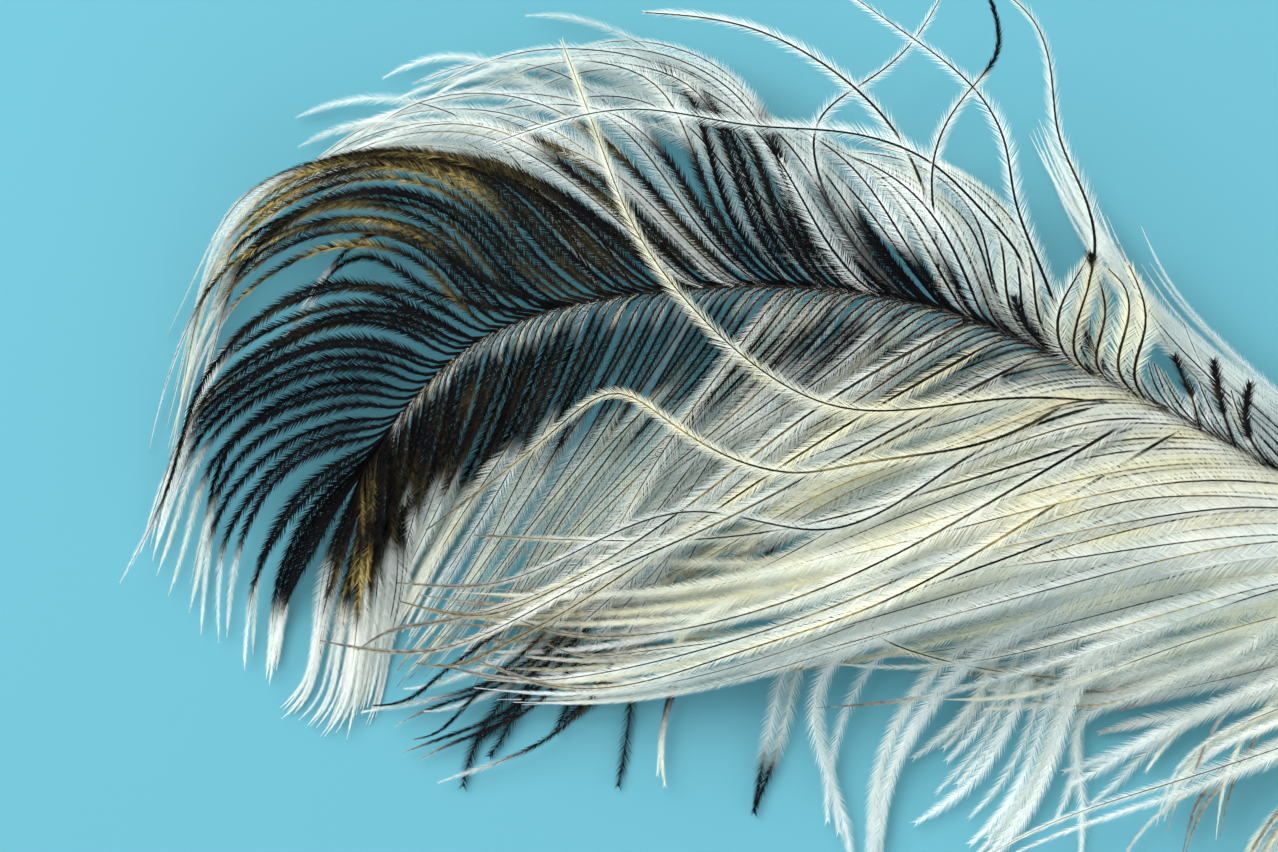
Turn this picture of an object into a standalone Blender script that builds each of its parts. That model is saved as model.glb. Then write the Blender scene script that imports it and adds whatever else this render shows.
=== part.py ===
"""An ostrich plume lying on a surface, its arched shaft uppermost.

The plume is one grown thing. It is split at its main forks into three solids: the
shaft (the bare quill and the rachis that it becomes), and the vane on each side of it.
Each vane is a thin domed sheet that stands for the soft barbs growing from that side:
it leaves the shaft at the shaft's own height, and comes down to lie flat round its rim.

Metres, +Z up. +X points from the plume's drooping tip to the end of its quill.
"""

import bpy
import numpy as np

MM = 0.001

# Points on the shaft's centre line from its tip to the end of its quill, in mm:
# along, across and up from the surface.
SHAFT_POINTS = (
    (-30.5, -4.6, 7.0),
    (-23.5, 4.6, 9.5),
    (-15.3, 10.7, 12.0),
    (-2.1, 14.3, 15.0),
    (14.4, 15.4, 18.0),
    (30.9, 13.3, 20.5),
    (50.7, 5.2, 22.5),
    (70.3, -5.3, 23.8),
    (110.0, -24.5, 24.5),
    (160.0, -45.0, 22.0),
    (210.0, -61.0, 15.5),
    (248.0, -71.0, 8.4),
    (285.0, -79.0, 0.95),
)
SHAFT_STATIONS = 84
TIP_RADIUS = 0.16 * MM
TAPER_POWER = 1.6                # the rachis thickens slowly at first, then faster
NECK_RADIUS = 1.55 * MM          # where the lowest barbs grow
QUILL_RADIUS = 2.0 * MM          # the bare quill at its thickest
QUILL_END_RADIUS = 0.9 * MM
QUILL_LENGTH = 52.0 * MM
QUILL_POINT_LENGTH = 9.0 * MM    # the stretch over which the quill narrows to its end
SHAFT_BEVEL_RESOLUTION = 3

# Both vanes meet along a parting that runs on past the shaft's tip, in mm.
PARTING_END = (-33.0, -30.0)
PARTING_GAP = 0.8 * MM

# The rim of each vane from the quill's end to the drooping tip, in mm.
RIGHT_RIM_POINTS = (
    (226.0, -48.0),
    (196.0, -27.0),
    (160.0, -8.0),
    (125.0, 7.0),
    (95.0, 19.0),
    (70.0, 30.0),
    (48.0, 40.0),
    (27.0, 46.5),
    (3.0, 49.0),
    (-21.0, 46.0),
    (-40.0, 36.5),
    (-51.5, 21.0),
    (-55.0, 3.0),
    (-50.0, -17.0),
    (-36.0, -34.5),
)
LEFT_RIM_POINTS = (
    (226.0, -84.0),
    (198.0, -99.0),
    (160.0, -107.0),
    (122.0, -105.0),
    (88.0, -97.0),
    (58.0, -86.5),
    (32.0, -74.0),
    (10.0, -60.0),
    (-6.0, -49.5),
    (-16.0, -43.0),
    (-23.0, -39.0),
    (-28.0, -36.5),
    (-31.5, -35.0),
)
VANE_ROWS = 46                   # from the quill's end to the tip
VANE_COLUMNS = 10                # from the shaft to the rim
VANE_THICKNESS = 1.2 * MM
VANE_LOFT = 7.0 * MM             # how far a vane's crown rises above a straight slope
RIM_SHARE = 0.82                 # beyond this share of its width a vane lies flat
TIP_LOFT_START = 0.80            # beyond this share of its length a vane's crown sinks

VANE_CLEARANCE = 0.3 * MM        # between the shaft and each vane


def clear_scene():
    """Removes every object that the scene starts with."""
    for thing in list(bpy.data.objects):
        bpy.data.objects.remove(thing, do_unlink=True)


def smooth_curve(points, count):
    """A natural cubic spline through the points, read at count even steps along it."""
    points = np.asarray(points, float)
    knots = np.concatenate([[0.0], np.cumsum(np.linalg.norm(np.diff(points, axis=0), axis=1))])
    gaps = np.diff(knots)
    last = len(points) - 1
    system = np.eye(last + 1)
    target = np.zeros_like(points)
    slopes = np.diff(points, axis=0) / gaps[:, None]
    for i in range(1, last):
        system[i, i - 1 : i + 2] = gaps[i - 1], 2 * (gaps[i - 1] + gaps[i]), gaps[i]
        target[i] = 6 * (slopes[i] - slopes[i - 1])
    bend = np.linalg.solve(system, target)

    def read(at):
        """The spline's points at the given distances along its knots."""
        i = np.clip(np.searchsorted(knots, at, side="right") - 1, 0, last - 1)
        after = (at - knots[i])[:, None]
        before = (knots[i + 1] - at)[:, None]
        gap = gaps[i][:, None]
        ends = (bend[i] * before**3 + bend[i + 1] * after**3) / (6 * gap)
        start = (points[i] / gap - bend[i] * gap / 6) * before
        finish = (points[i + 1] / gap - bend[i + 1] * gap / 6) * after
        return ends + start + finish

    fine = np.linspace(0.0, knots[-1], 40 * count)
    travelled = path_lengths(read(fine))
    even = np.linspace(0.0, travelled[-1], count)
    return read(np.interp(even, travelled, fine))


def path_lengths(path):
    """The distance of each point of a path from its first point."""
    return np.concatenate([[0.0], np.cumsum(np.linalg.norm(np.diff(path, axis=0), axis=1))])


def ease(x):
    """A smooth step from 0 at 0 to 1 at 1."""
    x = np.clip(x, 0.0, 1.0)
    return x * x * (3 - 2 * x)


def shaft_radius(from_tip, length):
    """The shaft's radius at each distance from its tip."""
    vane_length = length - QUILL_LENGTH
    share = np.clip(from_tip / vane_length, 0, 1)
    rachis = TIP_RADIUS + (NECK_RADIUS - TIP_RADIUS) * share**TAPER_POWER
    swell = ease((from_tip - vane_length) / (0.3 * QUILL_LENGTH)) * (QUILL_RADIUS - NECK_RADIUS)
    to_end = ease((length - from_tip) / QUILL_POINT_LENGTH)
    return QUILL_END_RADIUS + (rachis + swell - QUILL_END_RADIUS) * to_end


def make_material(name, colour, roughness):
    """A Principled material of one colour."""
    material = bpy.data.materials.new(name)
    material.use_nodes = True
    shader = material.node_tree.nodes["Principled BSDF"]
    shader.inputs["Base Color"].default_value = (*colour, 1.0)
    shader.inputs["Roughness"].default_value = roughness
    shader.inputs["Metallic"].default_value = 0.0
    material.diffuse_color = (*colour, 1.0)
    return material


def make_shaft(collection):
    """The quill and rachis: a round tapered tube along the shaft's curve."""
    path = smooth_curve(np.array(SHAFT_POINTS) * MM, SHAFT_STATIONS)
    from_tip = path_lengths(path)
    radius = shaft_radius(from_tip, from_tip[-1])
    curve = bpy.data.curves.new("shaft", "CURVE")
    curve.dimensions = "3D"
    curve.bevel_depth = 1.0
    curve.bevel_resolution = SHAFT_BEVEL_RESOLUTION
    curve.use_fill_caps = True
    curve.twist_mode = "Z_UP"
    spline = curve.splines.new("POLY")
    spline.points.add(len(path) - 1)
    for point, place, size in zip(spline.points, path, radius):
        point.co = (*place, 1.0)
        point.radius = size
    curve.materials.append(make_material("shaft_horn", (0.045, 0.028, 0.018), 0.38))
    shaft = bpy.data.objects.new("shaft", curve)
    collection.objects.link(shaft)
    return shaft


def parting_line(count):
    """The line that both vanes grow from, from the quill's end to past the tip.

    Returns its points, the shaft's radius at each, and the horizontal way across it.
    """
    shaft = smooth_curve(np.array(SHAFT_POINTS) * MM, 4 * count)[::-1]
    from_base = path_lengths(shaft)
    length = from_base[-1]
    vaned = shaft[from_base >= QUILL_LENGTH]
    end = np.array([*PARTING_END, 0.0]) * MM
    line = np.vstack([vaned, end])
    line = smooth_curve(line[:: count // 8].tolist() + [end.tolist()], 4 * count)
    at = path_lengths(line)
    even = np.linspace(0.0, at[-1], count)
    line = np.column_stack([np.interp(even, at, line[:, k]) for k in range(3)])
    from_tip = length - QUILL_LENGTH - even
    radius = np.where(from_tip > 0, shaft_radius(np.maximum(from_tip, 0), length), 0.0)
    ahead = np.gradient(line[:, :2], axis=0)
    ahead /= np.linalg.norm(ahead, axis=1)[:, None]
    return line, radius, np.column_stack([ahead[:, 1], -ahead[:, 0]])


def make_vane(name, side, rim_points, colour, collection):
    """One vane: a sheet lofted from the parting line to its rim, then given its thickness.

    side is 1 for the vane on the shaft's right, looking from the quill to the tip, and
    -1 for the one on its left.
    """
    line, radius, across = parting_line(VANE_ROWS)
    reach = radius + np.where(radius > 0, VANE_CLEARANCE, PARTING_GAP / 2)
    inner = line.copy()
    inner[:, :2] += side * across * reach[:, None]
    inner[:, 2] = np.maximum(inner[:, 2] - VANE_THICKNESS / 2, 0.0)
    rim = smooth_curve(np.array(rim_points) * MM, VANE_ROWS)

    share = np.linspace(0.0, 1.0, VANE_COLUMNS)
    along = np.linspace(0.0, 1.0, VANE_ROWS)
    plan = inner[:, None, :2] * (1 - share)[None, :, None] + rim[:, None, :] * share[None, :, None]
    slope = 1 - ease(share / RIM_SHARE)
    crown = np.sin(np.pi * np.clip((share - share[1]) / (RIM_SHARE - share[1]), 0, 1)) ** 2
    loft = VANE_LOFT * (1 - 0.75 * ease((along - TIP_LOFT_START) / (1 - TIP_LOFT_START)))
    height = inner[:, None, 2] * slope[None, :] + loft[:, None] * crown[None, :]
    height[:, share >= RIM_SHARE] = 0.0
    places = np.dstack([plan, height]).reshape(-1, 3)

    corner = np.arange((VANE_ROWS - 1) * VANE_COLUMNS).reshape(-1, VANE_COLUMNS)[:, :-1].ravel()
    faces = np.column_stack([corner, corner + 1, corner + VANE_COLUMNS + 1, corner + VANE_COLUMNS])
    if side < 0:
        faces = faces[:, ::-1]
    mesh = bpy.data.meshes.new(name)
    mesh.from_pydata(places.tolist(), [], faces.tolist())
    mesh.materials.append(make_material(name + "_barbs", colour, 0.7))
    vane = bpy.data.objects.new(name, mesh)
    wall = vane.modifiers.new("thickness", "SOLIDIFY")
    wall.thickness = VANE_THICKNESS
    wall.offset = 1.0
    wall.use_even_offset = False
    collection.objects.link(vane)
    return vane


def stand_at_origin(parts, collection):
    """Moves the plume, by a parent empty, so that the origin is under its middle."""
    bpy.context.view_layer.update()
    graph = bpy.context.evaluated_depsgraph_get()
    corners = []
    for part in parts:
        corners += [tuple(corner) for corner in part.evaluated_get(graph).bound_box]
    low = np.min(corners, axis=0)
    high = np.max(corners, axis=0)
    middle = bpy.data.objects.new("plume_origin", None)
    middle.location = (-(low[0] + high[0]) / 2, -(low[1] + high[1]) / 2, -low[2])
    collection.objects.link(middle)
    for part in parts:
        part.parent = middle


def main():
    """Builds the plume's three solids."""
    clear_scene()
    collection = bpy.data.collections.new("ostrich_feather")
    bpy.context.scene.collection.children.link(collection)
    parts = [
        make_shaft(collection),
        make_vane("right_vane", 1, RIGHT_RIM_POINTS, (0.13, 0.09, 0.055), collection),
        make_vane("left_vane", -1, LEFT_RIM_POINTS, (0.62, 0.58, 0.48), collection),
    ]
    stand_at_origin(parts, collection)


main()
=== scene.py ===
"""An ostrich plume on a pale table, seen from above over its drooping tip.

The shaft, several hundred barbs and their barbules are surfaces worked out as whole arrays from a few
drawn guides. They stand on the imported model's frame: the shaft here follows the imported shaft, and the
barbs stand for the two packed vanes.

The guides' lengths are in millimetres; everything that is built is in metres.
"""

import logging
from dataclasses import astuple, dataclass, field, fields
from enum import Enum

import bpy
import numpy as np
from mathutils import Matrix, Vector


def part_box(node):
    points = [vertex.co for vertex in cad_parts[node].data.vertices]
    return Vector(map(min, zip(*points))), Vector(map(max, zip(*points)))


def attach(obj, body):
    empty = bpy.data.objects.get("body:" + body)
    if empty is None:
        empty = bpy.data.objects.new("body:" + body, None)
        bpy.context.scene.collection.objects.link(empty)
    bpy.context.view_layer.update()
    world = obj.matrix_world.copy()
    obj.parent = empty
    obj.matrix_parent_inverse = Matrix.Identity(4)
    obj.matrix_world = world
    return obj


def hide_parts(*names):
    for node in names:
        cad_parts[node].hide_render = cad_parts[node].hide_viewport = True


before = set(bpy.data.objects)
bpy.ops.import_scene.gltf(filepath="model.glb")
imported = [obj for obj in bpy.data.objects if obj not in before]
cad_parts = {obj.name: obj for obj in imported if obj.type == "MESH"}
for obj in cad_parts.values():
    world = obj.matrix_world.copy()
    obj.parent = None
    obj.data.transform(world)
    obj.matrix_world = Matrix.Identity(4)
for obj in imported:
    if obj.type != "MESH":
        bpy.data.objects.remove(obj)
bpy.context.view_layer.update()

MM = 0.001
LOG = logging.getLogger("plume")

Array = np.ndarray


class Side(Enum):
    """The shaft's two sides, looking from the quill to the tip."""

    RIGHT = "right"
    LEFT = "left"


class Slot(Enum):
    """The record's material slots."""

    HORN = "shaft_horn"
    DARK = "dark_barbs"
    PALE = "pale_barbs"


# ---------------------------------------------------------------------------------------
# Curves
# ---------------------------------------------------------------------------------------


def ease(x: Array | float) -> Array:
    """A smooth step from 0 at 0 to 1 at 1."""
    x = np.clip(x, 0.0, 1.0)
    return x * x * (3 - 2 * x)


def path_lengths(path: Array) -> Array:
    """The distance of each point of a path from its first point."""
    return np.concatenate([[0.0], np.cumsum(np.linalg.norm(np.diff(path, axis=0), axis=1))])


def smooth_curve(points: Array, count: int) -> Array:
    """A natural cubic spline through the points, read at even steps along it.

    Args:
        points: the points that it passes through, one a row.
        count: how many points to read.

    Returns:
        The points read, one a row.
    """
    points = np.asarray(points, float)
    knots = path_lengths(points)
    gaps = np.diff(knots)
    last = len(points) - 1
    slopes = np.diff(points, axis=0) / gaps[:, None]
    system = np.eye(last + 1)
    inner = np.arange(1, last)
    system[inner, inner - 1] = gaps[:-1]
    system[inner, inner] = 2 * (gaps[:-1] + gaps[1:])
    system[inner, inner + 1] = gaps[1:]
    target = np.zeros_like(points)
    target[1:-1] = 6 * np.diff(slopes, axis=0)
    bend = np.linalg.solve(system, target)

    def read(at: Array) -> Array:
        """Reads the spline.

        Args:
            at: distances along its knots.

        Returns:
            The points there, one a row.
        """
        i = np.clip(np.searchsorted(knots, at, side="right") - 1, 0, last - 1)
        after = (at - knots[i])[:, None]
        before = (knots[i + 1] - at)[:, None]
        gap = gaps[i][:, None]
        ends = (bend[i] * before**3 + bend[i + 1] * after**3) / (6 * gap)
        start = (points[i] / gap - bend[i] * gap / 6) * before
        finish = (points[i + 1] / gap - bend[i + 1] * gap / 6) * after
        return ends + start + finish

    fine = np.linspace(0.0, knots[-1], 40 * count)
    travelled = path_lengths(read(fine))
    return read(np.interp(np.linspace(0.0, travelled[-1], count), travelled, fine))


def unit(vectors: Array) -> Array:
    """The vectors, each scaled to a length of 1."""
    return vectors / np.maximum(np.linalg.norm(vectors, axis=-1, keepdims=True), 1e-12)


def frames_along(paths: Array) -> tuple[Array, Array, Array]:
    """The way ahead, the level way to the left and the way up at each point of some paths.

    Args:
        paths: points in an array whose last two axes are the point's number and x, y, z.

    Returns:
        Three arrays of unit vectors of the same shape. left x up = ahead.
    """
    ahead = unit(np.gradient(paths, axis=-2))
    left = unit(np.cross(np.array([0.0, 0.0, 1.0]), ahead))
    return ahead, left, np.cross(ahead, left)


# ---------------------------------------------------------------------------------------
# Meshes
# ---------------------------------------------------------------------------------------


@dataclass
class Strands:
    """Points and faces of many fine shapes, gathered into one mesh.

    plumage holds three finish numbers a point: how pale, how yellow-brown (with painted highlights; on
    the shaft, a painted highlight along its top) and how warm it is.
    spread holds its place on the colour map: along the barb, and across the barb's own strip.
    """

    places: list[Array] = field(default_factory=list)
    plumage: list[Array] = field(default_factory=list)
    spread: list[Array] = field(default_factory=list)
    corners: list[Array] = field(default_factory=list)
    sides: list[Array] = field(default_factory=list)
    held: int = 0

    def add(self, places: Array, faces: list[Array], plumage: Array, spread: Array) -> None:
        """Adds points and the faces between them.

        Args:
            places: the points, in metres, one a row.
            faces: arrays of point numbers, each of faces with the same number of corners.
            plumage: the three finish numbers of each point.
            spread: each point's place on the colour map.
        """
        self.places.append(places.reshape(-1, 3))
        self.plumage.append(plumage.reshape(-1, 3))
        self.spread.append(spread.reshape(-1, 2))
        for block in faces:
            self.corners.append((block + self.held).ravel())
            self.sides.append(np.full(len(block), block.shape[1]))
        self.held += len(self.places[-1])

    def make(self, name: str) -> bpy.types.Object:
        """Makes one mesh object of everything added so far.

        Args:
            name: the object's name.

        Returns:
            The object, in the scene.
        """
        places = np.vstack(self.places)
        corners = np.concatenate(self.corners)
        sides = np.concatenate(self.sides)
        mesh = bpy.data.meshes.new(name)
        mesh.vertices.add(len(places))
        mesh.vertices.foreach_set("co", places.astype(np.float32).ravel())
        mesh.loops.add(len(corners))
        mesh.loops.foreach_set("vertex_index", corners.astype(np.int32))
        mesh.polygons.add(len(sides))
        starts = np.concatenate([[0], np.cumsum(sides)[:-1]])
        mesh.polygons.foreach_set("loop_start", starts.astype(np.int32))
        mesh.polygons.foreach_set("use_smooth", np.ones(len(sides), bool))
        numbers = mesh.attributes.new("plumage", "FLOAT_VECTOR", "POINT")
        numbers.data.foreach_set("vector", np.vstack(self.plumage).astype(np.float32).ravel())
        layer = mesh.uv_layers.new(name="OFBake")
        layer.uv.foreach_set("vector", np.vstack(self.spread)[corners].astype(np.float32).ravel())
        mesh.update(calc_edges=True)
        piece = bpy.data.objects.new(name, mesh)
        bpy.context.scene.collection.objects.link(piece)
        LOG.info("%s: %d points, %d triangles", name, len(places), int((sides - 2).sum()))
        return piece


def tube_faces(tubes: int, rings: int, around: int) -> list[Array]:
    """Faces of closed tubes whose points run round each ring, ring by ring, tube by tube.

    Args:
        tubes: how many tubes there are.
        rings: how many rings each has.
        around: how many points each ring has.

    Returns:
        The walls' faces, the first ends and the last ends, all turned outwards.
    """
    point = np.arange(tubes * rings * around).reshape(tubes, rings, around)
    here, there = point[:, :-1], point[:, 1:]
    walls = np.stack([here, np.roll(here, -1, 2), np.roll(there, -1, 2), there], -1)
    return [walls.reshape(-1, 4), point[:, 0, ::-1], point[:, -1]]


# ---------------------------------------------------------------------------------------
# Shader graphs
# ---------------------------------------------------------------------------------------


class Value:
    """A shader socket on which sums are written as Python expressions."""

    def __init__(self, graph: "Graph", socket: bpy.types.NodeSocket) -> None:
        """Wraps a socket of a graph."""
        self.graph = graph
        self.socket = socket

    def _maths(self, operation: str, first: object, second: object) -> "Value":
        """A Math node on two values or numbers."""
        return self.graph.node(
            "ShaderNodeMath", {"operation": operation}, {0: first, 1: second}
        )

    def __add__(self, other: object) -> "Value":
        """self + other."""
        return self._maths("ADD", self, other)

    def __radd__(self, other: object) -> "Value":
        """other + self."""
        return self._maths("ADD", other, self)

    def __sub__(self, other: object) -> "Value":
        """self - other."""
        return self._maths("SUBTRACT", self, other)

    def __rsub__(self, other: object) -> "Value":
        """other - self."""
        return self._maths("SUBTRACT", other, self)

    def __mul__(self, other: object) -> "Value":
        """self * other."""
        return self._maths("MULTIPLY", self, other)

    def __rmul__(self, other: object) -> "Value":
        """other * self."""
        return self._maths("MULTIPLY", other, self)

    def clamped(self) -> "Value":
        """self, kept from 0 to 1."""
        return self.graph.node("ShaderNodeClamp", {}, {"Value": self})


class Graph:
    """A material's node tree, built by calls."""

    def __init__(self, name: str) -> None:
        """Starts a material that holds only its output.

        Args:
            name: the material's name.
        """
        self.material = bpy.data.materials.new(name)
        self.material.use_nodes = True
        self.tree = self.material.node_tree
        self.tree.nodes.clear()
        self.output = self.tree.nodes.new("ShaderNodeOutputMaterial")

    def node(self, kind: str, settings: dict, inputs: dict, output: object = 0) -> Value:
        """Adds a node.

        Args:
            kind: the node's type.
            settings: its settings, set first; "stops" are a ramp's (place, colour) pairs.
            inputs: for sockets by name or number, a Value to link or a constant to set.
            output: the name or number of the output that is wanted.

        Returns:
            That output.
        """
        made = self.tree.nodes.new(kind)
        for name, setting in settings.items():
            if name == "stops":
                self._set_stops(made.color_ramp, setting)
            else:
                setattr(made, name, setting)
        for name, given in inputs.items():
            if isinstance(given, Value):
                self.tree.links.new(given.socket, made.inputs[name])
            else:
                made.inputs[name].default_value = given
        return Value(self, made.outputs[output])

    @staticmethod
    def _set_stops(ramp: bpy.types.ColorRamp, stops: list) -> None:
        """Gives a ramp its stops.

        Args:
            ramp: the ramp, with its first two stops.
            stops: (place, colour) pairs, two or more.
        """
        while len(ramp.elements) < len(stops):
            ramp.elements.new(0.5)
        for element, (place, colour) in zip(ramp.elements, stops):
            element.position = place
            element.color = (*colour, 1.0)

    def mixed(self, share: object, first: object, second: object) -> Value:
        """The colour that is first where share is 0 and second where it is 1."""
        first, second = (c if isinstance(c, Value) else (*c, 1.0) for c in (first, second))
        return self.node(
            "ShaderNodeMix", {"data_type": "RGBA"}, {0: share, 6: first, 7: second}, 2
        )

    def noise(self, scale: float, detail: float) -> Value:
        """Noise over the object's own coordinates."""
        place = self.node("ShaderNodeTexCoord", {}, {}, "Object")
        return self.node(
            "ShaderNodeTexNoise", {}, {"Vector": place, "Scale": scale, "Detail": detail}
        )

    def plumage(self) -> tuple[Value, Value, Value]:
        """The surface's three finish numbers."""
        found = self.node("ShaderNodeAttribute", {"attribute_name": "plumage"}, {}, "Vector")
        split = self.node("ShaderNodeSeparateXYZ", {}, {0: found})
        return split, *(Value(self, split.socket.node.outputs[i]) for i in (1, 2))

    def finish(self, shader: Value) -> bpy.types.Material:
        """Links a shader to the output and returns the material."""
        self.tree.links.new(shader.socket, self.output.inputs["Surface"])
        return self.material


Colour = tuple[float, float, float]


@dataclass(frozen=True)
class BarbFinish:
    """Barbs and barbules, from brown-black through gold-brown to cream-white.

    The plumage numbers choose the colour: the first fades dark to pale, the second gilds the dark part
    with a yellow-brown tone that also paints highlights on it, and the third warms the pale part. The
    pale part is white in patches of painted highlight, between patches of painted grey-blue shade.
    """

    name: str
    black: Colour = (0.003, 0.003, 0.004)
    # yellow-brown: partly the dark barbs' own tone, partly painted highlights on them
    gold_and_highlight: Colour = (0.40, 0.31, 0.10)
    white: Colour = (0.93, 0.95, 0.94)
    # painted shade: the grey-blue that the pale barbules take in patches, standing for shadow among them
    shade: Colour = (0.56, 0.64, 0.66)
    cream: Colour = (0.84, 0.80, 0.58)
    glow: Colour = (0.97, 0.97, 0.90)
    glow_share: float = 0.45
    roughness: float = 0.75
    gloss: float = 0.06
    patch_scale: float = 220.0
    streak_scale: float = 1500.0
    # the size of the patches of painted light and shade on the pale part
    light_and_shade_scale: float = 60.0

    def make(self) -> bpy.types.Material:
        """Mixes a diffuse barb with light that shines through its pale part.

        Returns:
            The material.
        """
        graph = Graph(self.name)
        pale, gold_and_glint, warm = graph.plumage()
        patches = graph.noise(self.patch_scale, 3.0)
        streaks = graph.noise(self.streak_scale, 2.0)
        # yellow-brown tone in patches and streaks on the dark part: partly its own tone, partly painted
        # highlights
        gilt_and_glint = (gold_and_glint * (patches * 1.2 - 0.1) * (streaks * 2.6 - 0.5)).clamped()
        dark = graph.mixed(gilt_and_glint, self.black, self.gold_and_highlight)
        # painted light and shade: large patches where the pale part is bright white, between patches of
        # painted grey-blue shade
        painted_light_and_shade = (graph.noise(self.light_and_shade_scale, 3.0) * 3.6 - 1.3).clamped()
        plain = graph.mixed(painted_light_and_shade, self.shade, self.white)
        light = graph.mixed((warm * (patches * 2.4 - 0.4)).clamped(), plain, self.cream)
        fade = (pale + (streaks - 0.5) * pale * (1 - pale) * 2.0).clamped()
        colour = graph.mixed(fade, dark, light)
        surface = graph.node(
            "ShaderNodeBsdfPrincipled",
            {},
            {
                "Base Color": colour,
                "Roughness": self.roughness,
                "Specular IOR Level": self.gloss,
            },
        )
        through = graph.node(
            "ShaderNodeBsdfTranslucent", {}, {"Color": (*self.glow, 1.0)}
        )
        mixed = graph.node(
            "ShaderNodeMixShader", {}, {0: fade * self.glow_share, 1: surface, 2: through}
        )
        return graph.finish(mixed)


@dataclass(frozen=True)
class HornFinish:
    """The shaft's horn: near-black on the rachis, honey-coloured on the bare quill."""

    name: str
    black: Colour = (0.003, 0.003, 0.003)
    brown: Colour = (0.012, 0.008, 0.005)
    honey: Colour = (0.62, 0.46, 0.25)
    fleck: Colour = (0.55, 0.38, 0.07)
    gloss: float = 0.12
    relief: float = 0.2 * MM
    streak_scale: float = 900.0
    fleck_scale: float = 260.0

    def make(self) -> bpy.types.Material:
        """Makes streaked horn with a few yellow flecks, a painted brown highlight along its top and a
        soft gloss.

        Returns:
            The material.
        """
        graph = Graph(self.name)
        bare, top_highlight, _ = graph.plumage()
        streaks = graph.noise(self.streak_scale, 3.0)
        flecks = graph.node(
            "ShaderNodeValToRGB",
            {"stops": [(0.70, (0, 0, 0)), (0.76, (1, 1, 1))]},
            {0: graph.noise(self.fleck_scale, 2.0)},
        )
        fleck = graph.node("ShaderNodeRGBToBW", {}, {0: flecks})
        # painted highlight: browner along the top of the shaft
        dark = graph.mixed((streaks * 0.8 + top_highlight * 0.4 - 0.2).clamped(), self.black, self.brown)
        spotted = graph.mixed(fleck * 0.8, dark, self.fleck)
        colour = graph.mixed((bare + (streaks - 0.5) * 0.3).clamped(), spotted, self.honey)
        bump = graph.node(
            "ShaderNodeBump", {}, {"Strength": 0.25, "Distance": self.relief, "Height": streaks}
        )
        surface = graph.node(
            "ShaderNodeBsdfPrincipled",
            {},
            {
                "Base Color": colour,
                "Roughness": 0.42 + streaks * 0.25,
                "Specular IOR Level": self.gloss,
                "Normal": bump,
            },
        )
        return graph.finish(surface)


# ---------------------------------------------------------------------------------------
# The shaft
# ---------------------------------------------------------------------------------------


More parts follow.
